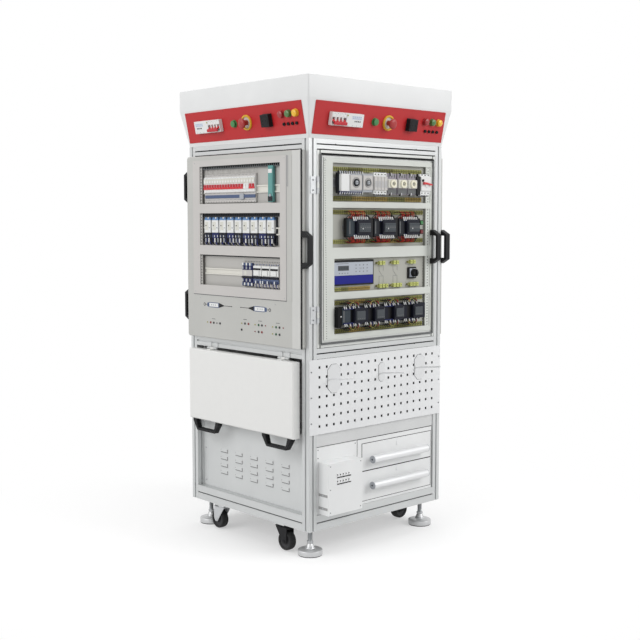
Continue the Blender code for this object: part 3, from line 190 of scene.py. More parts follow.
def drift_effect():
    """Slow drifts of a finish's colour and gloss over the surface."""
    tree, given, result = effect("drift", (("Colour", "NodeSocketColor", (0.5, 0.5, 0.5, 1)),
                                           ("Shift", "NodeSocketFloat", 0.1), ("Scale", "NodeSocketFloat", 8.0),
                                           ("Roughness", "NodeSocketFloat", 0.4), ("Spread", "NodeSocketFloat", 0.1)),
                                 (("Colour", "NodeSocketColor"), ("Roughness", "NodeSocketFloat")))
    place = add_node(tree, "TexCoord")
    cloud = add_node(tree, "TexNoise", {"Vector": place.outputs["Object"], "Scale": given["Scale"], "Detail": 4.0})
    centred = add_node(tree, "Math", {0: cloud.outputs["Fac"], 1: 0.5}, "SUBTRACT").outputs[0]
    change = add_node(tree, "Math", {0: centred, 1: given["Shift"], 2: 1.0}, "MULTIPLY_ADD")
    tint = add_node(tree, "VectorMath", {0: given["Colour"], "Scale": change.outputs[0]}, "SCALE")
    gloss = add_node(tree, "Math", {0: centred, 1: given["Spread"], 2: given["Roughness"]}, "MULTIPLY_ADD")
    tree.links.new(tint.outputs[0], result["Colour"])
    tree.links.new(gloss.outputs[0], result["Roughness"])
    return tree


def grain_effect():
    """The fine texture of powder coat, moulded plastic or rubber, or the long lines of drawn metal."""
    tree, given, result = effect("grain", (("Stretch", "NodeSocketVector", (900.0, 900.0, 900.0)),),
                                 (("Height", "NodeSocketFloat"),))
    place = add_node(tree, "TexCoord")
    stretched = add_node(tree, "VectorMath", {0: place.outputs["Object"], 1: given["Stretch"]}, "MULTIPLY")
    noise = add_node(tree, "TexNoise", {"Vector": stretched.outputs[0], "Scale": 1.0, "Detail": 2.0})
    tree.links.new(noise.outputs["Fac"], result["Height"])
    return tree


drift = drift_effect()
grain = grain_effect()


def shade(red, green, blue):
    """A colour in the 0 to 255 steps of a display, as the linear values that a shader takes."""
    def linear(step):
        value = step / 255
        return value / 12.92 if value <= 0.04045 else ((value + 0.055) / 1.055) ** 2.4
    return (linear(red), linear(green), linear(blue), 1.0)


def make_finish(name, colour, roughness, metallic=0.0, shift=0.12, patch=6.0, spread=0.12,
                stretch=(1500.0, 1500.0, 1500.0), depth=0.00004, coat=0.0, specular=0.5):
    """A finish: base colour and gloss that drift, and a fine texture of the given stretch and depth."""
    material = bpy.data.materials.new(name)
    material.use_nodes = True
    tree = material.node_tree
    shader = tree.nodes["Principled BSDF"].inputs
    for socket, value in (("Metallic", metallic), ("Coat Weight", coat), ("Specular IOR Level", specular)):
        shader[socket].default_value = value
    drifting = add_node(tree, "Group", {"Colour": colour, "Shift": shift, "Scale": patch, "Roughness": roughness,
                                        "Spread": spread}, group=drift)
    texture = add_node(tree, "Group", {"Stretch": stretch}, group=grain)
    bump = add_node(tree, "Bump", {"Strength": 0.6, "Distance": depth, "Height": texture.outputs["Height"]})
    for output, socket in ((drifting.outputs["Colour"], "Base Color"), (drifting.outputs["Roughness"], "Roughness"),
                           (bump.outputs["Normal"], "Normal")):
        tree.links.new(output, shader[socket])
    return material


# Finishes: for each kind what its materials share, and then name, red, green, blue and roughness of each
painted = {"stretch": (420.0, 420.0, 420.0), "depth": 0.0001}
drawn = {"metallic": 0.35, "shift": 0.1, "patch": 5.0, "spread": 0.14, "depth": 0.00005}
finish_kinds = (
    (painted, (("hood_white", 228, 229, 229, 0.42), ("front_white", 213, 216, 210, 0.42),
               ("door_grey", 190, 190, 186, 0.42), ("sheet_grey", 198, 195, 192, 0.45),
               # The second finish on the next line paints the shade along sheet edges and louvre lips, and also colours
               # the service box's straps.
               ("rim_grey", 206, 206, 203, 0.42), ("edge_grey", 162, 162, 162, 0.45),
               ("cover_white", 214, 216, 216, 0.45), ("unit_white", 238, 239, 239, 0.42),
               ("fascia_grey", 216, 217, 217, 0.45), ("board_white", 234, 235, 236, 0.4))),
    ({"shift": 0.08, **painted}, (("panel_red", 182, 22, 27, 0.5),)),
    ({"shift": 0.03, "patch": 40.0, "spread": 0.1, "stretch": (700.0, 700.0, 700.0), "depth": 0.00006},
     (("laminate", 234, 234, 232, 0.38),)),
    ({}, (("peg_white", 226, 227, 228, 0.36), ("plate_beige", 176, 176, 168, 0.55), ("plate_grey", 186, 184, 180, 0.55),
          ("white_plastic", 230, 231, 230, 0.42), ("grey_plastic", 168, 172, 178, 0.45),
          ("cream_plastic", 214, 213, 204, 0.45), ("dusk_blue", 70, 86, 120, 0.48), ("sky_plastic", 92, 134, 184, 0.4),
          # The last finish on the next line paints the shade in shallow slots, openings and along edges, and also
          # colours printed marks and thin rims.
          ("pale_blue", 206, 214, 228, 0.45), ("teal_plastic", 92, 152, 148, 0.45), ("shade_and_mark_grey", 98, 100, 101, 0.65),
          ("yellow_plastic", 222, 178, 48, 0.42), ("terminal_light", 196, 202, 118, 0.45),
          ("lilac_plastic", 146, 140, 150, 0.48), ("panel_lilac", 178, 184, 194, 0.45),
          ("ring_white", 234, 230, 208, 0.42), ("button_red", 112, 22, 30, 0.4), ("red_plastic", 206, 44, 50, 0.4),
          ("toggle_red", 190, 30, 46, 0.4), ("socket_green", 44, 92, 62, 0.45), ("socket_red", 132, 44, 44, 0.45),
          ("socket_dark", 50, 50, 52, 0.5), ("wire_blue", 38, 50, 132, 0.4), ("wire_yellow", 168, 162, 76, 0.42))),
    ({"specular": 0.18}, (("slate_plastic", 58, 66, 72, 0.5), ("face_grey", 76, 80, 84, 0.5),
                          ("navy_plastic", 22, 24, 36, 0.5), ("ink_plastic", 34, 40, 84, 0.48),
                          ("blue_plastic", 28, 32, 130, 0.42), ("black_plastic", 30, 30, 32, 0.48),
                          # The next two finishes paint the shade in gaps, slots and holes; the first also colours a few
                          # black parts.
                          ("shade_and_black", 16, 16, 18, 0.7), ("painted_shade_dark", 24, 24, 25, 0.72),
                          ("terminal_yellow", 172, 172, 108, 0.45), ("terminal_olive", 140, 138, 84, 0.45),
                          ("terminal_orange", 180, 156, 92, 0.45), ("terminal_shadow", 62, 60, 42, 0.55),
                          ("coal_plastic", 38, 40, 45, 0.5), ("wire_red", 168, 40, 32, 0.4),
                          ("wire_black", 24, 24, 24, 0.45))),
    ({"coat": 0.15}, (("stop_red", 164, 36, 36, 0.42), ("green_plastic", 58, 128, 70, 0.42))),
    ({"coat": 0.3}, (("lens_red", 158, 34, 38, 0.3), ("lens_green", 72, 118, 58, 0.3),
                     ("lens_yellow", 240, 188, 40, 0.3), ("display", 58, 62, 66, 0.3))),
    ({"stretch": (2200.0, 2200.0, 9.0), **drawn}, (("profile_up", 208, 210, 210, 0.36),)),
    ({"stretch": (9.0, 2200.0, 2200.0), **drawn}, (("profile_x", 208, 210, 210, 0.36),)),
    ({"stretch": (2200.0, 9.0, 2200.0), **drawn}, (("profile_y", 208, 210, 210, 0.36),)),
    ({"metallic": 0.2, "shift": 0.08, "patch": 5.0, "spread": 0.14, "stretch": (1400.0, 1400.0, 1400.0),
      "depth": 0.00003}, (("door_profile", 218, 220, 217, 0.4),)),
    ({"metallic": 0.6, "shift": 0.2, "patch": 60.0, "spread": 0.2, "stretch": (300.0, 300.0, 300.0), "depth": 0.00003},
     (("zinc", 196, 198, 200, 0.38),)),
    ({"metallic": 0.15, "shift": 0.1, "patch": 30.0, "spread": 0.1, "stretch": (9.0, 900.0, 900.0), "depth": 0.00003},
     (("rail_zinc", 222, 220, 212, 0.45),)),
    ({"metallic": 0.9, "shift": 0.15, "patch": 30.0, "spread": 0.2, "stretch": (60.0, 60.0, 2400.0), "depth": 0.00003},
     (("steel", 178, 180, 182, 0.34),)),
    ({"metallic": 0.45, "patch": 20.0, "spread": 0.16, "stretch": (500.0, 500.0, 500.0)},
     (("fork_light", 200, 202, 204, 0.36),)),
    ({"metallic": 0.6, "shift": 0.2, "patch": 20.0, "spread": 0.2, "stretch": (500.0, 500.0, 500.0), "depth": 0.00005},
     (("bracket_grey", 150, 152, 154, 0.4),)),
    ({"metallic": 0.3, "shift": 0.08, "stretch": (9.0, 2200.0, 2200.0)}, (("satin_tube", 232, 233, 234, 0.34),)),
    ({"metallic": 0.45, "shift": 0.08, "stretch": (60.0, 60.0, 1600.0), "depth": 0.00003},
     (("foot_satin", 206, 207, 208, 0.36),)),
    ({"metallic": 0.85}, (("brass", 206, 176, 96, 0.35),)),
    ({"shift": 0.3, "patch": 30.0, "spread": 0.2, "stretch": (500.0, 500.0, 500.0), "depth": 0.00008},
     (("rubber", 28, 28, 29, 0.75), ("tread_grey", 50, 50, 52, 0.7))))
finishes = {name: make_finish(name, shade(red, green, blue), roughness, **shared)
            for shared, rows in finish_kinds for name, red, green, blue, roughness in rows}


# Shapes
def fillet(points, radius, steps=4):
    """The outline with each corner rounded; radius is one number, or one for each corner."""
    radii = radius if isinstance(radius, list) else [radius] * len(points)
    outline = []
    for index, point in enumerate(points):
        here = Vector(point)
        before = (Vector(points[index - 1]) - here).normalized()
        after = (Vector(points[(index + 1) % len(points)]) - here).normalized()
        reach = radii[index] / max(tan(before.angle(after) / 2), 1e-6)
        start, end = here + before * reach, here + after * reach
        for step in range(steps + 1):
            share = step / steps
            outline.append(tuple(start * (1 - share) ** 2 + here * 2 * share * (1 - share) + end * share ** 2))
    return outline


def shrunk(points, distance):
    """The outline moved inwards by a distance."""
    area = sum(a[0] * b[1] - b[0] * a[1] for a, b in zip(points, points[1:] + points[:1]))
    turn = 1 if area > 0 else -1
    result = []
    for index, point in enumerate(points):
        here = Vector(point)
        arriving = (here - Vector(points[index - 1])).normalized()
        leaving = (Vector(points[(index + 1) % len(points)]) - here).normalized()
        normal_a = Vector((-arriving.y, arriving.x)) * turn
        normal_b = Vector((-leaving.y, leaving.x)) * turn
        middle = (normal_a + normal_b).normalized()
        result.append(tuple(here + middle * distance / max(middle.dot(normal_a), 0.5)))
    return result


def rectangle(x0, x1, z0, z1, radius):
    return fillet([(x0, z0), (x1, z0), (x1, z1), (x0, z1)], radius)


class Kit:
    """The shapes of one piece, drawn in a side's coordinates, each with its own finish."""

    def __init__(self, side="front", slope=False):
        self.place = Matrix.Rotation(side_turns[side], 4, "Z")
        if slope:
            self.place = (self.place @ Matrix.Translation((0, -column_half, hood_bottom))
                          @ Matrix.Rotation(slope_tilt, 4, "X"))
        self.mesh = bmesh.new()
        self.used = []

    def fill(self, faces, finish):
        """Faces between vertices, all in one finish."""
        if finish not in self.used:
            self.used.append(finish)
        for face in faces:
            self.mesh.faces.new(face).material_index = self.used.index(finish)

    def skin(self, rings, finish, closed=False):
        """Faces between rings of points and over the end rings; a ring of one point closes to a tip."""
        loops = [[self.mesh.verts.new(point) for point in ring] for ring in rings]
        faces = []
        for first, second in list(zip(loops, loops[1:])) + ([(loops[-1], loops[0])] if closed else []):
            count = max(len(first), len(second))
            for index in range(count):
                after = (index + 1) % count
                if len(first) == 1:
                    faces.append((first[0], second[after], second[index]))
                elif len(second) == 1:
                    faces.append((first[index], first[after], second[0]))
                else:
                    faces.append((first[index], first[after], second[after], second[index]))
        if not closed:
            faces += [loop for loop in (loops[0], loops[-1]) if len(loop) > 2]
        self.fill(faces, finish)

    def box(self, x0, x1, y0, y1, z0, z1, finish, ease=0.0):
        """An upright box whose edges are eased."""
        lows = (min(x0, x1), min(y0, y1), min(z0, z1))
        highs = (max(x0, x1), max(y0, y1), max(z0, z1))
        cut = min(ease, 0.3 * min(b - a for a, b in zip(lows, highs)))
        corner = {}
        for signs in product((0, 1), repeat=3):
            tip = [(lows, highs)[sign][axis] for axis, sign in enumerate(signs)]
            for axis in range(3):
                corner[signs, axis] = self.mesh.verts.new(
                    [value if other == axis else value + (cut if signs[other] == 0 else -cut)
                     for other, value in enumerate(tip)])
        faces = []
        for axis in range(3):
            second, third = [other for other in range(3) if other != axis]

            def signs_of(a, b, c):
                signs = [0, 0, 0]
                signs[axis], signs[second], signs[third] = a, b, c
                return tuple(signs)

            for end in (0, 1):
                faces.append([corner[signs_of(end, b, c), axis] for b, c in ((0, 0), (1, 0), (1, 1), (0, 1))])
            for b, c in product((0, 1), repeat=2):
                faces.append([corner[signs_of(0, b, c), second], corner[signs_of(1, b, c), second],
                              corner[signs_of(1, b, c), third], corner[signs_of(0, b, c), third]])
        faces += [[corner[signs, axis] for axis in range(3)] for signs in product((0, 1), repeat=3)]
        self.fill(faces, finish)

    def boxes(self, origin, rows):
        """Boxes in millimetres from an origin: left, right, how far the front and the back stand out of the
        origin's plane, bottom, top, finish, and the ease of the edges if they have any."""
        x, y, z = origin
        for x0, x1, front, back, z0, z1, finish, *ease in rows:
            self.box(x + x0 / 1000, x + x1 / 1000, y - front / 1000, y - back / 1000, z + z0 / 1000, z + z1 / 1000,
                     finish, sum(ease) / 1000)

    def block(self, x, y, z, half_x, half_z, front, back, finish, ease=0.0):
        """A box centred on x and z; front and back are how far its faces stand out of y."""
        self.box(x - half_x, x + half_x, y - front, y - back, z - half_z, z + half_z, finish, ease)

    def turned(self, profile, centre, finish, axis="out", sides=28, closed=False):
        """A profile of (distance along the axis, radius) turned about an axis through centre."""
        turn = {"out": Matrix.Rotation(pi / 2, 3, "X"), "up": Matrix.Identity(3),
                "along": Matrix.Rotation(pi / 2, 3, "Y")}[axis]
        centre = Vector(centre)
        rings = []
        for distance, radius in profile:
            if radius == 0:
                rings.append([centre + turn @ Vector((0, 0, distance))])
            else:
                rings.append([centre + turn @ Vector((radius * cos(2 * pi * step / sides),
                                                      radius * sin(2 * pi * step / sides), distance))
                              for step in range(sides)])
        self.skin(rings, finish, closed)

    def disc(self, x, y, z, radius, height, finish, sides=12, base=0.0):
        """A round disc that stands out from y, between its base and its height."""
        self.turned([(base, radius), (height, radius), (height, 0)], (x, y, z), finish, sides=sides)

    def prism(self, outline, start, end, finish, axis="out", ease=0.0004, inner=None):
        """An outline swept along an axis with its rims eased: out sweeps (x, z) along y, along sweeps (y, z)
        along x, and up sweeps (x, y) along z."""
        place = {"out": lambda a, b, c: (a, c, b), "along": lambda a, b, c: (c, a, b),
                 "up": lambda a, b, c: (a, b, c)}[axis]
        start, end = min(start, end), max(start, end)
        cut = min(ease, (end - start) * 0.3)
        inner = inner or shrunk(outline, cut)
        rings = [[place(a, b, level) for a, b in ring]
                 for ring, level in ((inner, start), (outline, start + cut), (outline, end - cut), (inner, end))]
        self.skin(rings, finish)

    def sheet(self, x_cuts, z_cuts, open_cells, front, back, finish):
        """A flat sheet drawn as a grid between the cuts, with some of its cells left open."""
        corner = {(a, b, y): self.mesh.verts.new((x, y, z)) for a, x in enumerate(x_cuts) for b, z in enumerate(z_cuts)
                  for y in (front, back)}
        cells = set(product(range(len(x_cuts) - 1), range(len(z_cuts) - 1))) - open_cells
        faces = []
        for a, b in cells:
            for y in (front, back):
                faces.append([(a, b, y), (a + 1, b, y), (a + 1, b + 1, y), (a, b + 1, y)])
            for beside, first, second in (((a - 1, b), (a, b), (a, b + 1)), ((a + 1, b), (a + 1, b), (a + 1, b + 1)),
                                          ((a, b - 1), (a, b), (a + 1, b)), ((a, b + 1), (a, b + 1), (a + 1, b + 1))):
                if beside not in cells:
                    faces.append([first + (front,), second + (front,), second + (back,), first + (back,)])
        self.fill([[corner[key] for key in face] for face in faces], finish)

    def tube(self, points, radius, finish, sides=8, steps=4):
        """A wire or bar of round section along a smooth curve through the points."""
        points = [Vector(point) for point in points]
        if steps > 1:
            ends = [points[0] * 2 - points[1]] + points + [points[-1] * 2 - points[-2]]
            smooth = []
            for index in range(len(points) - 1):
                a, b, c, d = ends[index:index + 4]
                for step in range(steps):
                    t = step / steps
                    smooth.append(0.5 * (2 * b + (c - a) * t + (2 * a - 5 * b + 4 * c - d) * t * t
                                         + (3 * b - a - 3 * c + d) * t ** 3))
            points = smooth + [points[-1]]
        rings = []
        side = None
        for index, point in enumerate(points):
            ahead = (points[min(index + 1, len(points) - 1)] - points[max(index - 1, 0)]).normalized()
            side = side or ahead.orthogonal().normalized()
            side = (side - ahead * side.dot(ahead)).normalized()
            other = ahead.cross(side)
            rings.append([point + radius * (side * cos(2 * pi * step / sides) + other * sin(2 * pi * step / sides))
                          for step in range(sides)])
        self.skin(rings, finish)

    def screw(self, x, y, z, radius=0.003, finish="zinc"):
        """A pan-head screw that stands out from y, with a dark bar over its head painted as the shade in its slot."""
        self.turned([(0, radius), (radius * 0.45, radius), (radius * 0.75, radius * 0.75),
                     (radius * 0.85, radius * 0.35), (radius * 0.85, 0)], (x, y, z), finish, sides=14)
        self.block(x, y, z, radius * 0.6, radius * 0.14, radius * 0.92, radius * 0.5, "shade_and_black")

    def done(self, name, body, slot, replaces=()):
        bmesh.ops.transform(self.mesh, matrix=self.place, verts=self.mesh.verts)
        bmesh.ops.recalc_face_normals(self.mesh, faces=self.mesh.faces)
        data = bpy.data.meshes.new(name)
        self.mesh.to_mesh(data)
        self.mesh.free()
        data.shade_smooth()
        data.set_sharp_from_angle(angle=radians(34))
        for finish in self.used:
            data.materials.append(finishes[finish])
        piece = bpy.data.objects.new(name, data)
        bpy.context.scene.collection.objects.link(piece)
        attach(piece, body)
        if replaces:
            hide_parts(*replaces)


def refinish(names, finish, ease=0.0):
    """Gives CAD nodes their finish, and eases their sharp edges."""
    for name in names:
        node = nodes[name]
        for slot in node.material_slots:
            slot.material = finishes[finish]
        if ease:
            bevel = node.modifiers.new("eased_edges", "BEVEL")
            bevel.width = ease
            bevel.segments = 2
            bevel.limit_method = "ANGLE"
            bevel.angle_limit = radians(50)
            bevel.harden_normals = False


# Frame
# Levels of the beams' slots, each with the finish of the painted shade at its bottom
beam_slots = ((1.5885, "painted_shade_dark"), (0.795, "painted_shade_dark"), (0.1385, "shade_and_mark_grey"))
table_beam_slot = 0.795
slot_half = 0.004
slot_mouth_half = 0.0023
slot_length_half = 0.3335
slot_nut_places = {"front": ((-0.2375, 1.5907), (0.2175, 1.59), (-0.2377, 0.794), (0.2155, 0.7944)),
                   "left": ((-0.238, 1.589), (0.238, 1.589))}


def dress_frame():
    refinish([f"post_{corner}" for corner in ("front_left", "front_right", "rear_left", "rear_right")], "profile_up",
             0.0006)
    refinish(("middle_beam_front", "middle_beam_rear"), "profile_x", 0.0006)
    refinish(("middle_beam_left", "middle_beam_right"), "profile_y", 0.0006)
    refinish(("base_frame", "top_frame"), "profile_x")
    refinish(("front_door_frame",), "door_profile", 0.0005)
    refinish(("front_hinge_lower", "front_hinge_upper"), "zinc")


def slot_shade_lines(side):
    """Painted shade in the beams' slots, behind the two lips that narrow them, and painted shadow in the gap over the
    door.
    """
    kit = Kit(side)
    lip = "profile_x" if side in ("front", "rear") else "profile_y"
    for level, finish in beam_slots:
        if side == "left" and level == table_beam_slot:
            continue
        kit.block(0, -column_half, level, slot_length_half, slot_half, -0.0034, -0.0052, finish)
        for sign in (-1, 1):
            kit.box(-slot_length_half, slot_length_half, -column_half + 0.0004, -column_half + 0.0028,
                    level + sign * slot_mouth_half, level + sign * (slot_half + 0.0002), lip, 0.0003)
    kit.boxes((0, -column_half, 0), [(-333, 333, 0.4, -0.2, 1568.6, 1571.2, "painted_shade_dark") if side == "front" else
                                     (-335, 335, 0.8, -0.2, 1567.2, 1571.2, "painted_shade_dark")])
    kit.done(f"{side}_slot_shade_lines", "column", "aluminium")


def door_frame_lines():
    """Painted shade in the slots of the front door's frame."""
    kit = Kit()
    face = low("front_door_frame", Y)
    half, low_z, high_z = 0.318, 0.832, 1.5515
    for z, finish in ((high_z, "painted_shade_dark"), (low_z, "shade_and_mark_grey")):
        kit.block(0, face, z, half, slot_half, -0.003, -0.0048, finish)
    for x in (-half, half):
        kit.box(x - slot_half, x + slot_half, face + 0.003, face + 0.0048, low_z, high_z, "shade_and_mark_grey")
    kit.done("front_door_slot_shade_lines", "front_door", "aluminium")


def slot_nuts(side):
    """Dark nuts with socket screws in the slots of the top and middle beams."""
    kit = Kit(side)
    for x, z in slot_nut_places[side]:
        kit.block(x, -column_half, z, 0.0065, 0.0036, -0.0005, -0.006, "shade_and_black", 0.0005)
        kit.turned([(-0.001, 0.0026), (0.0006, 0.0026), (0.0006, 0.0014), (-0.0004, 0.0012), (-0.0004, 0)],
                   (x, -column_half, z), "black_plastic", sides=12)
    kit.done(f"{side}_slot_nuts", "column", "black_plastic")


# Hood
hood_sheet = 0.002
hood_roll = 0.0035


def rounded_square(half, radius, level, steps=6):
    points = []
    for quarter in range(4):
        for step in range(steps + 1):
            angle = pi / 2 * (quarter + step / steps)
            centre = Matrix.Rotation(pi / 2 * quarter, 2) @ Vector((half - radius, half - radius))
            points.append((centre.x + radius * cos(angle), centre.y + radius * sin(angle), level))
    return points


def hood():
    """A sheet-metal shell: leaning lower walls, upright band and flat top, with folded edges."""
    kit = Kit()
    rings = [rounded_square(half, radius, level) for half, radius, level in (
        (hood_half - hood_sheet, 0.006, hood_top - hood_sheet), (hood_half - hood_sheet, 0.006, hood_break),
        (column_half - hood_sheet, 0.004, hood_bottom), (column_half, 0.006, hood_bottom),
        (hood_half - 0.0004, 0.008, hood_break - 0.002), (hood_half, 0.008, hood_break + 0.0015),
        (hood_half, 0.008, hood_top - hood_roll))]
    for step in range(1, 5):
        angle = pi / 2 * step / 4
        rings.append(rounded_square(hood_half - hood_roll * (1 - cos(angle)), 0.008,
                                    hood_top - hood_roll * (1 - sin(angle))))
    kit.skin(rings, "hood_white")
    kit.done("hood_shell", "column", "hood_white", replaces=("hood",))


# Control stations, drawn on the slope with their face at y = panel_face
panel_half = 0.3655
panel_low = 0.016
panel_high = 0.1415
panel_face = -0.0018
station_level = 0.079
breaker_left = -0.2895
breaker_right = -0.1225
breaker_half = 0.025
breaker_proud = 0.0175
module_pitch = 0.018
toggle_count = 4
toggle_level = 0.073
toggle_pocket_half = 0.0125
toggle_axis_y = -0.0128
toggle_start = {"front": -0.2865, "left": -0.1975}
toggle_bar_radius = 0.005
tie_drop = (0.003, 0.015)
tie_thickness = 0.005
outlet_place = (0.136, 0.187, 0.02)
start_place = -0.045
stop_place = 0.032
lamp_places = ((0.2465, "lens_red"), (0.287, "lens_green"), (0.3275, "lens_yellow"))
lamp_level = 0.097
socket_places = (0.253, 0.277, 0.301, 0.325)
socket_level = 0.0585


def breaker(kit, layout):
    """The row of breaker modules: four ganged poles, and the leakage module beside them."""
    front = panel_face - breaker_proud
    low_z, high_z = station_level - breaker_half, station_level + breaker_half
    pocket_left = toggle_start[layout]
    pocket_right = pocket_left + toggle_count * module_pitch
    pocket_low, pocket_high = toggle_level - toggle_pocket_half, toggle_level + toggle_pocket_half
    body = "white_plastic"
    kit.box(breaker_left, breaker_right, panel_face, front + 0.0145, low_z, high_z, body, 0.0008)
    for x0, x1, z0, z1 in ((breaker_left, pocket_left, low_z, high_z), (pocket_right, breaker_right, low_z, high_z),
                           (pocket_left, pocket_right, low_z, pocket_low),
                           (pocket_left, pocket_right, pocket_high, high_z)):
        kit.box(x0, x1, front + 0.015, front, z0, z1, body, 0.0008)
    for number in range(1, toggle_count):
        x = pocket_left + number * module_pitch
        for z0, z1 in ((low_z, pocket_low), (pocket_high, high_z)):
            kit.box(x - 0.0003, x + 0.0003, front - 0.0001, front + 0.002, z0 + 0.001, z1 - 0.001, "grey_plastic")
        kit.box(x - 0.0036, x + 0.0036, front + 0.0006, front + 0.014, pocket_low, pocket_high, body, 0.0004)
    for number in range(toggle_count):
        kit.disc(pocket_left + (number + 0.5) * module_pitch, front, high_z - 0.0042, 0.0018, 0.0002, "grey_plastic")
    if layout == "front":
        leak_left, leak_right, split, outer = pocket_right, breaker_right, pocket_right, 1
    else:
        leak_left, leak_right, split, outer = breaker_left, pocket_left, pocket_left, -1
    kit.box(split - 0.0003, split + 0.0003, front - 0.0001, front + 0.002, low_z + 0.001, high_z - 0.001,
            "grey_plastic")
    centre = (leak_left + leak_right) / 2
    width = leak_right - leak_left
    patch = centre + outer * width * 0.12
    kit.box(patch - width * 0.3, patch + width * 0.26, front - 0.0003, front, station_level + 0.003,
            station_level + 0.0165, "pale_blue", 0.0002)
    for row, number in product(range(2), range(5)):
        kit.block(patch - width * 0.24 + number * width * 0.11, front, station_level + 0.0068 + row * 0.0058,
                  0.0022, 0.0006, 0.0005, 0, "dusk_blue")
    kit.block(split + outer * width * 0.06, front, station_level + 0.017, 0.0032, 0.003, 0.0008, 0, "terminal_yellow",
              0.0004)
    for number in range(4):
        kit.block(centre + outer * (0.001 + number * 0.0088), front, station_level - 0.004, 0.0026, 0.0025, 0.0006, 0,
                  "navy_plastic", 0.0002)
    for number in range(4):
        kit.disc(leak_left + width * (0.14 + number * 0.24), front, low_z + 0.0042, 0.0018, 0.0002, "grey_plastic")


def outlet(kit):
    """The square black outlet, which stands well out of the panel."""
    left, right, proud = outlet_place
    low_z, high_z = station_level - 0.0255, station_level + 0.0255
    front = panel_face - proud
    collar = panel_face - 0.0045
    kit.prism(rectangle(left, right, low_z, high_z, 0.002), collar, panel_face, "black_plastic", ease=0.0008)
    kit.prism(rectangle(left + 0.0012, right - 0.0012, low_z + 0.0012, high_z - 0.0012, 0.003), front, collar,
              "black_plastic", ease=0.0014)
    middle = (left + right) / 2
    kit.turned([(-0.0002, 0.02), (0.0007, 0.02), (0.0007, 0.0184), (-0.0002, 0.018)], (middle, front, station_level),
               "black_plastic", sides=36, closed=True)
    # The two contact holes, painted dark as shade.
    for dx in (-0.0095, 0.0095):
        kit.disc(middle + dx, front, station_level, 0.0027, 0.0003, "shade_and_black", 14)


def lamps_and_sockets(kit):
    """Three round signal lamps, and four small sockets below them."""
    for x, lens in lamp_places:
        kit.turned([(0, 0.0149), (0.0022, 0.0149), (0.003, 0.0144), (0.003, 0.0136)], (x, panel_face, lamp_level), lens)
        kit.turned([(0.001, 0.0139), (0.01, 0.0139), (0.0128, 0.013), (0.0146, 0.01), (0.0155, 0.005), (0.0157, 0)],
                   (x, panel_face, lamp_level), lens)
    for x in socket_places:
        kit.turned([(0, 0.0062), (0.0052, 0.0062), (0.006, 0.0056), (0.006, 0.0024), (0.0012, 0.0022), (0.0012, 0)],
                   (x, panel_face, socket_level), "black_plastic", sides=20)


def control_done(kit, piece, side, moving, body, slot, node):
    """Finishes a toggle bar or a button: a moving piece for its CAD node, or a part of the hood."""
    if moving:
        kit.done(f"{side}_{piece}", f"{side}_{body}", slot, (f"{side}_{node}",))
    else:
        kit.done(f"{side}_{piece}", "column", "hood_white")


def station(side, moving):
    """One control station. The toggles and buttons of the front and left sides are pieces of their own."""
    kit = Kit(side, slope=True)
    kit.prism(rectangle(-panel_half, panel_half, panel_low, panel_high, 0.003), panel_face, -0.0003, "panel_red")
    for number in range(60):
        x = -panel_half + 0.006 + number * (2 * panel_half - 0.012) / 59
        kit.box(x - 0.0022, x + 0.0022, panel_face - 0.0002, panel_face + 0.0004, panel_high - 0.0014,
                panel_high - 0.0001, "lens_red")
    for x, z in product((-0.356, -0.11, 0.11, 0.356), (panel_low + 0.0065, panel_high - 0.0075)):
        kit.screw(x, panel_face, z, 0.0018, "lens_red")
    layout = side if moving else "left"
    breaker(kit, layout)
    outlet(kit)
    lamps_and_sockets(kit)
    start = (start_place, panel_face, station_level)
    stop = (stop_place, panel_face, station_level)
    kit.turned([(0, 0.0155), (0.0033, 0.0155), (0.0045, 0.0147), (0.0045, 0.0118), (0.0008, 0.0112)], start,
               "green_plastic")
    kit.turned([(-0.0002, 0.0304), (0.004, 0.0304), (0.0056, 0.0296), (0.0058, 0.028), (0.0056, 0.024),
                (0.0046, 0.0228), (-0.0002, 0.0226)], stop, "yellow_plastic", sides=48, closed=True)
    kit.turned([(-0.0002, 0.0228), (0.0006, 0.0228), (0.0006, 0.011)], stop, "cream_plastic", sides=32)
    kit.done(f"{side}_station", "column", "panel_red" if moving else "hood_white",
             (f"{side}_control_panel",) if moving else ())

    toggles(side, layout, moving)
    cap = Kit(side, slope=True)
    cap.turned([(-0.012, 0.0103), (0.0085, 0.0103), (0.0085, 0.0133), (0.0112, 0.0133), (0.0126, 0.0122),
                (0.0133, 0.008), (0.0134, 0)], start, "green_plastic")
    control_done(cap, "start_cap", side, moving, "start", "signal_green", "start_button")
    cap = Kit(side, slope=True)
    cap.turned([(-0.012, 0.0103), (0.019, 0.0103), (0.0215, 0.0125), (0.0225, 0.0185), (0.024, 0.0199), (0.0275, 0.02),
                (0.0305, 0.019), (0.0332, 0.0155), (0.0346, 0.0095), (0.035, 0)], stop, "stop_red", sides=40)
    control_done(cap, "stop_cap", side, moving, "stop", "signal_red", "stop_button")


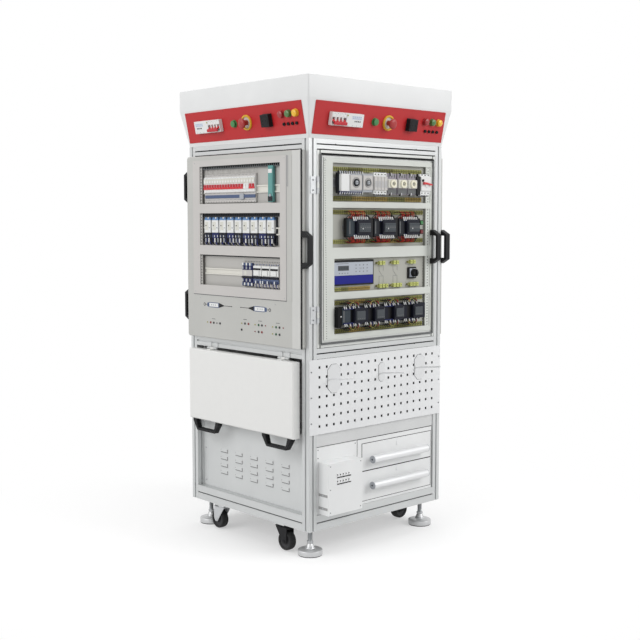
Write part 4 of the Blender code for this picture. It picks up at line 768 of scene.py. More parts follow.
def toggles(side, layout, moving):
    """Four narrow levers on one bar, with the tie that gangs them."""
    kit = Kit(side, slope=True)
    first = toggle_start[layout]
    middle = first + toggle_count * module_pitch / 2
    reach = toggle_count * module_pitch / 2 - 0.0004
    tilt = Matrix.Rotation(radians(20), 2)
    kit.turned([(-reach, toggle_bar_radius - 0.0002), (reach, toggle_bar_radius - 0.0002)],
               (middle, toggle_axis_y, toggle_level), "toggle_red", "along", 16)
    outline = [tuple(tilt @ Vector(point) + Vector((toggle_axis_y, toggle_level))) for point in (
        (0, -0.003), (-0.0165, -0.0026), (-0.0187, -0.0012), (-0.0187, 0.0012), (-0.0165, 0.0026), (0, 0.003))]
    for number in range(toggle_count):
        x = first + (number + 0.5) * module_pitch
        kit.prism(outline, x - 0.0044, x + 0.0044, "red_plastic", "along", 0.0008)
    tip = toggle_axis_y - 0.019
    kit.prism(rectangle(tip + 0.0002, tip + tie_thickness, toggle_level - tie_drop[1], toggle_level - tie_drop[0],
                        0.0012),
              first + 0.0022, first + toggle_count * module_pitch - 0.0022, "toggle_red", "along", 0.0008)
    control_done(kit, "toggle_bar", side, moving, "toggles", "signal_red", "breaker_toggles")


# Bridge handles
handle_half_width = 0.01175
handle_sleeve = 0.0006
edge_handle_y = -0.3888
edge_handle_level = 1.1915
edge_handle_x = 0.3593


def bridge_points(length, grip, reach, thickness, cut, rounding):
    """The outline (along, out) of a bridge handle, its corners rounded, moved inwards by a cut."""
    foot = thickness * 2
    inner = grip / 2 - thickness / 2
    corners = [(-length / 2, 0), (-length / 2, thickness), (-grip / 2, reach), (grip / 2, reach),
               (length / 2, thickness), (length / 2, 0), (length / 2 - foot, 0), (length / 2 - foot, thickness / 2),
               (inner, reach - thickness), (-inner, reach - thickness), (foot - length / 2, thickness / 2),
               (foot - length / 2, 0)]
    radii = [0.0008, 0.003, 0.008, 0.008, 0.003, 0.0008, 0.0008, 0.0015, 0.005, 0.005, 0.0015, 0.0008]
    if cut:
        corners = shrunk(corners, cut)
        radii = [max(radius - max(cut, 0) * 0.4, 0.0004) for radius in radii]
    return fillet(corners, [radius * rounding for radius in radii], 5)


def bridge(kit, place, start, end, axis, length=0.14, grip=0.104, reach=0.043, thickness=0.011, sleeve=0.0):
    """A bridge handle swept along an axis; place puts a point (along, out) where the handle stands.

    A sleeve covers a handle that is one piece with its door: it is larger all round, with sharper corners."""
    ease, rounding = (0.0005, 0.2) if sleeve else (0.0018, 1.0)
    outer, inner = [[place(along, out) for along, out in bridge_points(length, grip, reach, thickness, cut, rounding)]
                    for cut in (-sleeve, ease - sleeve)]
    kit.prism(outer, start - sleeve, end + sleeve, "black_plastic", axis, ease, inner)


def edge_handle(name, side, hand, body, replaces=(), sleeve=0.0):
    """A bridge handle on a door's free edge, which reaches out sideways."""
    kit = Kit(side)
    bridge(kit, lambda along, out: (hand * (edge_handle_x + out), edge_handle_level + along),
           edge_handle_y - handle_half_width, edge_handle_y + handle_half_width, "out", sleeve=sleeve)
    kit.done(name, body, "black_plastic", replaces)


def door_handle(name, side, body, x, face, z, replaces=(), sleeve=0.0):
    """A black bridge handle, its feet on the face, with a screw in each foot."""
    kit = Kit(side)
    bridge(kit, lambda along, out: (face - out, z + along), x - handle_half_width, x + handle_half_width, "along",
           sleeve=sleeve)
    for end in (-1, 1):
        kit.turned([(0.0085, 0.0042), (0.0118, 0.0042), (0.0118, 0.0022), (0.0108, 0.002), (0.0108, 0)],
                   (x, face, z + end * 0.0605), "shade_and_black", sides=16)
    kit.done(name, body, "black_plastic", replaces)


# Devices behind the door windows
terminal_depth = 0.005
terminal_finishes = {"y": "terminal_yellow", "o": "terminal_olive", "n": "terminal_orange"}
front_plate_y = -column_half + 0.012
front_panel_y = low("front_door_panel", Y)


def terminals(kit, x0, x1, y, z, height, runs, pitch=0.01, share=0.6):
    """A row of separate terminals on a strip of painted shade between them, each with a painted shade spot for its
    screw; the finishes take turns in equal runs.
    """
    count = round((x1 - x0) / pitch)
    pitch = (x1 - x0) / count
    kit.box(x0, x1, y - terminal_depth * 0.5, y, z - height * 0.36, z + height * 0.36, "terminal_shadow", 0.0003)
    for number in range(count):
        left = x0 + number * pitch
        finish = terminal_finishes[runs[number * len(runs) // count]]
        kit.box(left, left + pitch * share, y - terminal_depth, y, z - height / 2, z + height / 2, finish, 0.0006)
        kit.box(left + pitch * share * 0.28, left + pitch * share * 0.72, y - terminal_depth - 0.0002,
                y - terminal_depth + 0.001, z - height * 0.14, z + height * 0.14, "terminal_shadow")


def lead(kit, start, end, sag, radius, finish):
    """A lead from one point to another, bowed by sag on the way."""
    start, end, sag = Vector(start), Vector(end), Vector(sag)
    kit.tube([start, start * 0.75 + end * 0.25 + sag * 0.8, start * 0.4 + end * 0.6 + sag, end], radius, finish, 6)


def ferrules(kit, x0, x1, count, y, z, rise, finishes_used, slant, radius):
    """A row of wire ends in their sleeves, which rise or hang down from z and may lean over."""
    for number in range(count):
        x = x0 + (number + 0.5) * (x1 - x0) / count
        kit.tube([(x, y, z), (x + slant, y, z + rise)], radius, finishes_used[number % len(finishes_used)], 8, 1)


def rail(kit, x0, x1, y, z, half=0.0175, depth=0.0075, finish="zinc"):
    """A hat rail: two flanges and the raised middle."""
    kit.box(x0, x1, y - depth, y - depth + 0.001, z - half, z - half + 0.005, finish, 0.0002)
    kit.box(x0, x1, y - depth, y - depth + 0.001, z + half - 0.005, z + half, finish, 0.0002)
    for sign in (-1, 1):
        kit.box(x0, x1, y - depth, y, z + sign * (half - 0.005) - 0.0005, z + sign * (half - 0.005) + 0.0005, finish)
    kit.box(x0, x1, y - 0.001, y, z - half + 0.005, z + half - 0.005, finish)


# Front door
front_windows = ((1.3735, 1.5215), (1.198, 1.3505), (1.026, 1.155), (0.864, 0.9985))


def slotted_strip(kit, z0, z1):
    """The white duct that closes the right edge of a front window, with its column of slots painted dark as shade, and
    a column of grey marks on the plate beside it.
    """
    back = front_panel_y + 0.0028
    kit.box(0.279, 0.307, back, back + 0.006, z0 - 0.004, z1 + 0.004, "front_white", 0.0004)
    count = round((z1 - z0 - 0.01) / 0.0117)
    for number in range(count + 1):
        z = z0 + 0.005 + number * (z1 - z0 - 0.01) / count
        kit.block(0.2917, back, z, 0.0019, 0.0021, 0.0002, -0.001, "shade_and_black")
        kit.block(0.27575, front_plate_y, z, 0.00125, 0.0021, 0.0003, -0.001, "shade_and_mark_grey")


def dial(kit, x, y, z, radius, ring_radius, ring, cap):
    """A setting dial in a thin ring, with its pointer slot."""
    kit.turned([(0, ring_radius), (0.001, ring_radius), (0.001, ring_radius - 0.0012), (0, ring_radius - 0.0012)],
               (x, y, z), "shade_and_mark_grey", closed=True)
    kit.turned([(0, radius), (0.003, radius), (0.0042, radius * 0.88), (0.0042, radius * 0.66), (0.0022, radius * 0.6)],
               (x, y, z), ring, sides=24)
    kit.turned([(0.001, radius * 0.56), (0.005, radius * 0.52), (0.0056, radius * 0.4), (0.0056, 0)], (x, y, z), cap,
               sides=20)
    kit.block(x, y, z, radius * 0.4, 0.0006, 0.0059, 0.004, "shade_and_black")


def front_top_row(kit):
    """Timers, leakage breaker, time relays and the motor breaker, under and over terminal rows."""
    y = front_plate_y
    rail(kit, -0.285, 0.274, y, 1.447)
    terminals(kit, -0.252, 0.262, y, 1.4985, 0.018, "yoyoyy")
    terminals(kit, -0.252, 0.262, y, 1.3865, 0.018, "onnon")
    kit.boxes((0, y, 0), ((-234, -190, 26, 8, 1406, 1485, "coal_plastic", 1),
                          (-232, -188, 39, 25, 1414, 1480, "white_plastic", 1.5),
                          (-186, -118, 34, 8, 1411, 1482, "grey_plastic", 1),
                          (-184, -120, 38, 33, 1419, 1476, "sheet_grey", 1.2),
                          (-115, -58, 34, 8, 1411, 1482, "grey_plastic", 1),
                          (-113, -60, 38, 33, 1420, 1476, "sheet_grey", 1.2)))
    dial(kit, -0.152, y - 0.038, 1.4475, 0.015, 0.02, "coal_plastic", "grey_plastic")
    dial(kit, -0.087, y - 0.038, 1.448, 0.013, 0.0182, "shade_and_mark_grey", "grey_plastic")
    for number in range(4):
        left = -0.056 + number * 0.0185
        kit.boxes((left, y, 0), ((0.2, 18.3, 37, 8, 1405, 1489, "white_plastic", 0.8),
                                 (0.6, 17.9, 43, 35, 1420, 1474, "sheet_grey", 0.8)))
        # Screw openings at top and bottom, painted dark as shade.
        for z in (1.412, 1.482):
            kit.disc(left + 0.009, y - 0.037, z, 0.003, 0.0003, "shade_and_black")
        for step in range(3):
            kit.block(left + 0.0045 + step * 0.0048, y, 1.4435, 0.0007, 0.0125, 0.0434, 0.0425, "grey_plastic")
    for x in (0.052, 0.112, 0.17):
        kit.boxes((x, y, 0), ((-27, 27, 32, 8, 1405, 1488, "lilac_plastic", 1),
                              (-26, 26, 34.5, 31, 1408, 1427, "shade_and_mark_grey", 0.6),
                              (-19, -12, 33, 31, 1472, 1485, "shade_and_mark_grey", 0.6),
                              (-3, 4, 33, 31, 1472, 1485, "shade_and_mark_grey", 0.6),
                              (13, 20, 33, 31, 1472, 1485, "shade_and_mark_grey", 0.6),
                              (-26.5, 26.5, 40, 31, 1430, 1465, "cream_plastic", 3)))
        kit.turned([(0, 0.017), (0.004, 0.017), (0.0056, 0.0158), (0.006, 0.012), (0.0056, 0.0085), (0.001, 0.0078)],
                   (x, y - 0.04, 1.4475), "ring_white", sides=32)
        kit.turned([(0.0006, 0.008), (0.0012, 0.006), (0.0012, 0)], (x, y - 0.04, 1.4475), "shade_and_mark_grey", sides=16)
        kit.block(x, y, 1.4475, 0.0012, 0.0045, 0.0446, 0.04, "cream_plastic", 0.0003)
    kit.boxes((0, y, 0), ((194, 214, 40, 8, 1406, 1480, "black_plastic", 1),
                          (214, 275, 37, 8, 1405, 1490, "white_plastic", 1),
                          (216, 274, 43.5, 36, 1422, 1480, "white_plastic", 1.5)))
    # Screw openings at top and bottom, painted dark as shade.
    for step, z in product(range(3), (1.413, 1.486)):
        kit.disc(0.226 + step * 0.019, y - 0.037, z, 0.003, 0.0003, "shade_and_black")
    kit.turned([(0, 0.0056), (0.0035, 0.0052), (0.0035, 0)], (0.225, y - 0.0435, 1.464), "black_plastic", sides=16)
    kit.turned([(0, 0.0115), (0.003, 0.011), (0.003, 0)], (0.248, y - 0.0435, 1.448), "white_plastic", sides=24)
    kit.prism(fillet([(0.223, 1.4475), (0.242, 1.449), (0.274, 1.444), (0.274, 1.45), (0.244, 1.456), (0.223, 1.458)],
                     0.0015), y - 0.0535, y - 0.046, "red_plastic", ease=0.001)
    for start, end, count in ((-0.246, -0.114, 11), (-0.052, 0.016, 6), (0.036, 0.048, 1), (0.094, 0.108, 1),
                              (0.15, 0.166, 1), (0.2, 0.27, 7)):
        for z, sign in ((1.479, 1), (1.413, -1)):
            ferrules(kit, start, end, count, y - 0.03, z, 0.013 * sign, ("black_plastic", "ink_plastic"), 0, 0.0036)
            ferrules(kit, start + 0.006, end + 0.006, count, y - 0.035, z + 0.001 * sign, 0.01 * sign,
                     ("white_plastic",), -0.002, 0.0019)
    for start, end in ((-0.24, -0.118), (-0.05, 0.012), (0.2, 0.27)):
        kit.box(start, end, y - 0.0365, y - 0.03, 1.408, 1.413, "ink_plastic", 0.001)


def contactor(kit, x, y, z0, z1, panel_width, width, face_left, face_right, panel, marks):
    """A contactor: side panel, dark body, and the raised grey face with its marks."""
    middle = (z0 + z1) / 2
    kit.box(x, x + panel_width, y - 0.037, y - 0.008, z0, z1, panel, 0.0015)
    kit.box(x - 0.0006, x + panel_width + 0.0006, y - 0.026, y - 0.01, z0 - 0.003, z1 + 0.003, "black_plastic", 0.001)
    kit.box(x + panel_width + 0.001, x + width, y - 0.034, y - 0.008, z0 - 0.002, z1 + 0.002, "black_plastic", 0.0012)
    kit.box(x + face_left - 0.006, x + face_right + 0.003, y - 0.05, y - 0.032, z0 + 0.004, z1 - 0.003,
            "navy_plastic", 0.0012)
    kit.box(x + face_left, x + face_right, y - 0.056, y - 0.048, middle - 0.017, middle + 0.018, "face_grey", 0.0015)
    kit.box(x + 0.004, x + 0.01, y - 0.0375, y - 0.036, z0 + 0.01, z1 - 0.01, "shade_and_mark_grey", 0.0004)
    columns = 5 if marks else 4
    for column in range(columns):
        left = x + face_left + 0.007 + column * (face_right - face_left - 0.014) / (columns - 1)
        if not marks:
            kit.block(left, y, middle - 0.011, 0.0034, 0.0012, 0.0563, 0.055, "shade_and_mark_grey")
            continue
        for row, finish in enumerate(("slate_plastic", "shade_and_mark_grey", "slate_plastic")):
            kit.block(left, y, middle - 0.011 + row * 0.012, 0.003, 0.0022, 0.0563, 0.055, finish)
    if marks:
        kit.disc(x + face_left + 0.018, y - 0.056, middle - 0.004, 0.0024, 0.0005, "white_plastic", 10)


def front_contactor_row(kit, wires):
    """Three contactors, with red arcs of wire over and under them, and the row's two buttons."""
    y = front_plate_y
    rail(kit, -0.19, 0.2, y, 1.273)
    terminals(kit, -0.252, 0.272, y, 1.334, 0.018, "onooyo")
    terminals(kit, -0.252, 0.272, y, 1.22, 0.017, "ynonno")
    for x, width, panel in ((-0.192, 0.138, "slate_plastic"), (-0.0505, 0.138, "coal_plastic"),
                            (0.091, 0.13, "coal_plastic")):
        contactor(kit, x, y, 1.24, 1.308, 0.036, width, 0.0425, 0.105, panel, True)
        for z, sign, drop in ((1.301, 1, 0.034), (1.246, -1, 0.026)):
            ferrules(kit, x + 0.018, x + 0.104, 8, y - 0.044, z, 0.0145 * sign, ("white_plastic",), -0.0056 * sign,
                     0.0026)
            kit.box(x + 0.03, x + 0.112, y - 0.042, y - 0.033, z - sign * 0.004, z + sign * 0.002, "ink_plastic", 0.001)
            for step in range(10):
                lead(wires, (x + 0.006 + step * 0.01, y - 0.034, z + sign * 0.006),
                     (x - 0.004 + step * 0.0098, y - 0.015, z + sign * drop), (0.004, -0.012, sign * 0.012), 0.0015,
                     "wire_red" if step % 3 else "wire_black")
            for step in range(6):
                lead(wires, (x - 0.004 + step * 0.011, y - 0.026, z + sign * 0.01),
                     (x + 0.034 + step * 0.011, y - 0.026, z + sign * 0.012), (0, -0.01, sign * 0.014), 0.0015,
                     "wire_red" if step % 3 else "wire_black")
            for step in range(5):
                lead(wires, (x + 0.098 + step * 0.006, y - 0.02, z),
                     (x + 0.108 + step * 0.005, y - 0.014, z + sign * 0.02), (0, -0.008, 0), 0.0018, "wire_black")
    for z, finish in ((1.293, "green_plastic"), (1.256, "button_red")):
        kit.turned([(0, 0.0082), (0.004, 0.0082), (0.006, 0.0068), (0.006, 0)], (0.224, y - 0.036, z), finish, sides=24)
        kit.block(0.225, y, z, 0.011, 0.01, 0.0365, 0.02, "black_plastic", 0.001)


def front_display_row(kit):
    """The phase monitor's display, marked terminal pairs, and the rotary switch."""
    y = front_plate_y
    kit.boxes((0, y, 0), ((-248, -24, 9, 0, 1050, 1148, "black_plastic", 1.2),
                          (-244, -30, 10.4, 8, 1089, 1140, "panel_lilac", 0.6),
                          (-244, -30, 10.4, 8, 1056, 1088.6, "blue_plastic", 0.6),
                          (-222, -164, 11.2, 10, 1108, 1127, "display", 0.5),
                          (-230, -166, 10.7, 10, 1134, 1135.6, "shade_and_mark_grey"),
                          (-106, -94, 10.7, 10, 1114.8, 1116.2, "shade_and_mark_grey")))
    for number in range(6):
        kit.block(-0.214 + number * 0.0084, y, 1.1175, 0.0022, 0.0045, 0.0115, 0.0108, "slate_plastic")
    for number in range(4):
        kit.block(-0.215 + number * 0.015, y, 1.09775, 0.0022, 0.00175, 0.0108, 0.01, "shade_and_mark_grey")
    for column, row in product(range(4), range(3)):
        if (column, row) != (1, 1):
            kit.block(-0.125 + column * 0.0205, y, 1.103 + row * 0.0125, 0.002, 0.002, 0.0108, 0.01, "shade_and_mark_grey")
    terminals(kit, -0.248, -0.038, y, 1.036, 0.015, "yonnn", 0.0082, 0.7)
    for x, width, marked in ((0.027, 66, True), (0.108, 66, True), (0.208, 76, False)):
        for z, count in ((1.1325, 2), (1.0405, 3)):
            kit.boxes((x, y, z), [(-38, width - 38, 1, 0, -9.5, 9.5, "plate_beige", 0.3)])
            for step in range(count):
                kit.boxes((x - 0.02 + step * 0.0185, y, z), ((0, 13.5, 12.5, 0, -7.8, 7.8, "terminal_light", 0.8),
                                                             (4.5, 9, 13, 11, -2, 3, "terminal_olive", 0.4)))
            kit.disc(x - 0.03, y, z, 0.0046, 0.01, "terminal_olive", 14)
        if marked:
            for dx in (-0.012, 0.012):
                kit.boxes((x + dx, y, 0), ((-0.5, 0.5, 0.4, 0, 1100, 1122, "shade_and_mark_grey"),
                                           (-0.5, 0.5, 0.4, 0, 1052, 1079, "shade_and_mark_grey")))
            kit.prism([(x - 0.012, 1.099), (x + 0.006, 1.08), (x + 0.007, 1.0808), (x - 0.011, 1.0998)], y - 0.0004, y,
                      "shade_and_mark_grey", ease=0.0001)
            kit.boxes((x, y, 0), [(-12.5, 12.5, 0.4, 0, 1079, 1080, "shade_and_mark_grey")])
    kit.prism(rectangle(0.18, 0.228, 1.064, 1.111, 0.004), y - 0.008, y, "black_plastic", ease=0.001)
    kit.prism(rectangle(0.187, 0.223, 1.07, 1.105, 0.003), y - 0.0098, y - 0.007, "panel_lilac", ease=0.0006)
    kit.turned([(0.008, 0.0165), (0.013, 0.016), (0.025, 0.015), (0.027, 0.0135), (0.027, 0)], (0.208, y, 1.0875),
               "black_plastic", sides=32)
    kit.boxes((0, y, 0), ((205, 211, 33.5, 22, 1074, 1101, "black_plastic", 1.5),
                          (207.2, 208.8, 33.8, 32, 1089, 1099.5, "shade_and_mark_grey")))


def front_bottom_row(kit, wires):
    """Four contactors in a row, with loops of thin wire over and under them."""
    y = front_plate_y
    rail(kit, -0.285, 0.274, y, 0.931)
    for z in (0.984, 0.874):
        terminals(kit, -0.244, 0.272, y, z, 0.017, "onoyoy")
    kit.boxes((0, y, 0), ((-244, -224, 34, 6, 890, 968, "shade_and_black", 1), (225, 255, 34, 8, 902, 964, "navy_plastic", 1)))
    kit.turned([(0, 0.003), (0.0015, 0.0026), (0.0015, 0)], (-0.229, y - 0.034, 0.933), "white_plastic", sides=14)
    for number, x in enumerate((-0.223, -0.111, 0.001, 0.113)):
        panel_width, face_left, face_right, panel = ((0.03, 0.06, 0.104, "navy_plastic") if number else
                                                     (0.044, 0.061, 0.108, "slate_plastic"))
        contactor(kit, x, y, 0.9, 0.966, panel_width, 0.1105, face_left, face_right, panel, False)
        for z, sign in ((0.962, 1), (0.904, -1)):
            ferrules(kit, x, x + 0.086, 9, y - 0.044, z, 0.0095 * sign,
                     ("white_plastic", "white_plastic", "black_plastic", "white_plastic", "ink_plastic"),
                     -0.0036 * sign, 0.0019)
            kit.box(x + 0.004, x + 0.1, y - 0.043, y - 0.033, z - sign * 0.004, z + sign * 0.003,
                    "navy_plastic" if number % 2 else "ink_plastic", 0.001)
            for step in range(8):
                lead(wires, (x + 0.014 + step * 0.01, y - 0.038, z + sign * 0.004),
                     (x + 0.01 + step * 0.011, y - 0.012, z + sign * 0.02), (0, -0.008, sign * 0.006), 0.0016,
                     "wire_red" if step % 4 == 3 else "wire_black")
            for step in range(5):
                middle = x + 0.03 + step * 0.008
                radius = 0.0225 - step * 0.0013
                wires.tube([(middle - radius * cos(angle), y - 0.03 - step * 0.003,
                             z + sign * (0.004 + 1.05 * radius * sin(angle)))
                            for angle in [pi * share / 8 for share in range(9)]], 0.0012,
                           "wire_yellow" if step == 3 else "wire_black", 6, 2)


def front_door():
    refinish(("front_door_panel",), "front_white", 0.0004)
    kit = Kit()
    kit.box(-0.3025, 0.3025, front_plate_y, front_plate_y + 0.002, low("front_device_plate", Z),
            high("front_device_plate", Z), "plate_beige", 0.0004)
    wires = Kit()
    front_top_row(kit)
    front_contactor_row(kit, wires)
    front_display_row(kit)
    front_bottom_row(kit, wires)
    for z0, z1 in front_windows:
        slotted_strip(kit, z0, z1)
    kit.done("front_devices", "front_door", "plate_grey", ("front_device_plate",))
    wires.done("front_device_leads", "front_door", "plate_grey")

    trim = Kit()
    for number in range(73):
        rise = number * 0.0094
        trim.block(-0.2853 - rise * 0.0151, front_panel_y, 0.851 + rise, 0.0016, 0.0017, 0.00015, -0.0002, "shade_and_mark_grey")
    for x, z in ((0.3155, 1.533), (0.3155, 0.851), (-0.2935, 1.533)):
        trim.screw(x, front_panel_y, z, 0.0026)
    for x0, z0, x1, z1 in ((-0.301, 1.5405, -0.288, 1.5275), (0.325, 0.8435, 0.312, 0.8565)):
        trim.prism([(x0, z0 - 0.0004), (x1, z1 - 0.0004), (x1, z1 + 0.0004), (x0, z0 + 0.0004)],
                   front_panel_y - 0.00015, front_panel_y + 0.0002, "shade_and_mark_grey", ease=0.00005)
    trim.done("front_panel_trim", "front_door", "white_paint")
    door_handle("front_door_bridge", "front", "front_door", 0.313, front_panel_y - 0.0003, 1.1925,
                ("front_door_handle",))
    for name, body, x in (("front_hinge_screws", "column", -0.3555), ("front_leaf_screws", "front_door", -0.3165)):
        screws = Kit()
        for node, offset in product(("front_hinge_lower", "front_hinge_upper"), (-0.019, 0.019)):
            screws.screw(x, -column_half - 0.0028, (low(node, Z) + high(node, Z)) / 2 + offset, 0.0034, "bracket_grey")
        screws.done(name, body, "steel")


# Left door
left_plate_y = -0.3845
left_field_y = -0.4033
left_front_y = -0.4023
left_cover_y = -0.4043
left_windows = ((1.3695, 1.5225), (1.2, 1.331), (1.036, 1.161))
left_window_left = -0.267
left_window_right = 0.2425


def comb(kit, z, tooth, back):
    """The toothed edge of a cable duct: slots painted dark as shade, between short teeth under a lip."""
    x0, x1, count = -0.266, 0.2415, 44
    kit.box(x0, x1, left_plate_y - 0.01, left_plate_y - 0.002, z - tooth - 0.0035, z, back, 0.0003)
    for number in range(count):
        x = x0 + (number + 0.5) * (x1 - x0) / count
        kit.box(x - 0.0034, x + 0.0034, left_plate_y - 0.0106, left_plate_y - 0.009, z - tooth, z - 0.0008, "shade_and_black",
                0.0002)


def dot_row(kit, x0, x1, count, y, z, half, finish="shade_and_mark_grey"):
    for number in range(count):
        kit.block(x0 + (number + 0.5) * (x1 - x0) / count, y, z, half, half, 0.0004, -0.0006, finish)


def left_breaker_row(kit, wires):
    """Nineteen breakers with red toggles on a rail, a blue comb below, and the tall teal supply module."""
    y = left_plate_y
    rail(kit, -0.262, 0.238, y, 1.425, 0.015, 0.0065, "rail_zinc")
    count, left_end, pitch = 19, -0.244, 0.0174
    right_end = left_end + count * pitch
    kit.box(left_end, right_end, y - 0.01, y - 0.0005, 1.374, 1.487, "sheet_grey", 0.0004)
    for number in range(count):
        plain = number in (15, 16)
        kit.boxes((left_end + number * pitch, y, 0), (
            (0.4, 17, 15, 9, 1415, 1476, "white_plastic", 0.8), (0.4, 17, 17.2, 14, 1450, 1470, "cream_plastic", 1),
            (5, 12.4, 17.5, 16, 1454, 1462, "white_plastic", 0.4),
            (2.6, 14.8, 18.2, 12, 1429, 1447, "white_plastic" if plain else "toggle_red", 0.6),
            (0.6, 16.8, 18.4, 12, 1427, 1435, "white_plastic" if plain else "red_plastic", 0.6)))
        if not plain:
            kit.boxes((left_end + number * pitch, y, 0), [(7, 10.4, 18.7, 17.5, 1438, 1447, "lens_red", 0.3)])
    for dots, face, z, half, finish in ((2 * count, 0.01, 1.4835, 0.0016, "shade_and_mark_grey"),
                                        (count, 0.015, 1.473, 0.0012, "grey_plastic"),
                                        (2 * count, 0.01, 1.4115, 0.0015, "shade_and_mark_grey"),
                                        (2 * count, 0.01, 1.385, 0.0014, "shade_and_mark_grey"),
                                        (count, 0.01, 1.3765, 0.0016, "shade_and_mark_grey")):
        dot_row(kit, left_end, right_end, dots, y - face, z, half, finish)
    kit.box(left_end + 0.006, right_end, y - 0.0135, y - 0.009, 1.3915, 1.4045, "dusk_blue", 0.0008)
    kit.boxes((0, y, 0), ((-8, 18, 16.5, 12, 1385, 1408, "grey_plastic", 1),
                          (168, 198, 16.5, 4, 1373, 1513, "teal_plastic", 1.5),
                          (171, 195, 18.2, 16, 1406, 1506, "teal_plastic", 1.2),
                          (172, 194.5, 18.8, 17.5, 1484, 1499, "white_plastic", 0.4),
                          (170, 196, 18.4, 16, 1376, 1395, "coal_plastic", 1)))
    kit.turned([(0, 0.0058), (0.0014, 0.0054), (0.0014, 0)], (0.183, y - 0.0182, 1.399), "grey_plastic", sides=18)
    for number in range(16):
        x = -0.236 + number * 0.0215
        bend = 0.004 * sin(number * 2.3)
        lead(wires, (x, y - 0.008, 1.485), (x + bend, y - 0.006, 1.511), (bend, -0.002, 0), 0.001, "sheet_grey")


def left_relay_row(kit, wires):
    """Nine plug-in relays: cream covers with blue caps, in dark blue sockets."""
    y = left_plate_y
    rail(kit, -0.262, 0.238, y, 1.26, 0.015, 0.0065, "rail_zinc")
    pitch, first = 0.0503, -0.242
    kit.box(first, first + 9 * pitch, y - 0.006, y - 0.002, 1.206, 1.315, "coal_plastic", 0.001)
    for number in range(9):
        left = first + number * pitch
        kit.boxes((left, y, 0), ((1, 43, 16.5, 4, 1252, 1303, "white_plastic", 1.2),
                                 (6, 28, 17, 15.5, 1262, 1296, "cream_plastic", 0.8),
                                 (1, 43, 16, 4, 1303, 1309, "sky_plastic", 1),
                                 (3, 18, 15, 4, 1309, 1314, "sky_plastic", 1),
                                 (21, 28, 15, 4, 1308.5, 1315, "white_plastic", 0.8),
                                 (31, 40, 15, 4, 1309, 1314, "sky_plastic", 1),
                                 (10, 16, 17.3, 16.5, 1279, 1283, "shade_and_black"),
                                 (32, 40, 17.2, 16, 1270, 1274, "grey_plastic"),
                                 (0, 44, 15, 4, 1230, 1251, "ink_plastic" if number % 2 else "navy_plastic", 1),
                                 (-4, 2, 15.5, 4, 1214, 1250, "navy_plastic", 1)))
        for step in range(4):
            x = left + 0.0065 + step * 0.0105
            turn = step + number
            kit.boxes((x, y, 0), (
                (-3, 3, 14, 4, 1212, 1232, ("grey_plastic", "ink_plastic", "white_plastic", "navy_plastic")[turn % 4],
                 0.6),
                (-1.6, 1.6, 15.6, 14, 1234, 1242, ("white_plastic", "dusk_blue")[turn % 2])))
            lead(wires, (x, y - 0.013, 1.214), (x + 0.003, y - 0.004, 1.201), (0, -0.003, -0.002), 0.0015,
                 ("wire_blue", "wire_black", "sheet_grey")[turn % 3])


def left_switch_row(kit, wires):
    """A bare length of rail, a small relay and three two-pole breakers."""
    y = left_plate_y
    rail(kit, -0.25, 0.005, y, 1.0935, 0.013, 0.0065, "rail_zinc")
    kit.boxes((0, y, 0), ((1, 68, 11, 4, 1042, 1134, "ink_plastic", 1), (3, 66, 15, 10, 1082, 1106, "sheet_grey", 1),
                          (20, 34, 16, 14, 1086, 1102, "cream_plastic", 0.8),
                          (1, 68, 15.4, 10, 1074, 1080, "black_plastic", 0.8)))
    for (row, z), column in product(enumerate((1.129, 1.114, 1.065, 1.05)), range(6)):
        finish = ("white_plastic", "ink_plastic", "dusk_blue", "grey_plastic")[(row * 3 + column * 2 + row // 2) % 4]
        kit.block(0.0065 + column * 0.0112, y, z, 0.0038, 0.0056, 0.0135, 0.01, finish, 0.0006)
    for number, left in enumerate((0.072, 0.124, 0.176)):
        kit.boxes((left, y, 0), ((0, 50, 9, 4, 1042, 1134, "sheet_grey", 1),
                                 (1, 49, 14, 8, 1084, 1124, "white_plastic", 1.2),
                                 (3, 47, 16, 12, 1107.5, 1115, "black_plastic", 1),
                                 (8, 40, 18.2, 13, 1086, 1106, "white_plastic", 1.5),
                                 (1, 49, 14, 8, 1074, 1083, "navy_plastic", 1),
                                 (0, 50, 13, 8, 1056, 1073, "dusk_blue", 1)))
        for step in range(5):
            x = left + 0.006 + step * 0.0095
            lower = ("ink_plastic", "white_plastic", "navy_plastic")[(step + number) % 3]
            kit.boxes((x, y, 0), ((-2.6, 2.6, 13.8, 12, 1054, 1066, lower, 0.4),
                                  (-2.6, 2.6, 10, 8, 1126, 1132, ("dusk_blue", "shade_and_mark_grey")[step % 2]),
                                  (-2, 2, 9.6, 8, 1044, 1052, "shade_and_mark_grey")))
            lead(wires, (x, y - 0.011, 1.054), (x, y - 0.004, 1.037), (0, -0.002, -0.001), 0.0015,
                 ("sheet_grey", "wire_blue")[(step + number) % 2])
    dot_row(kit, 0.002, 0.22, 22, y - 0.0002, 1.14, 0.0018)


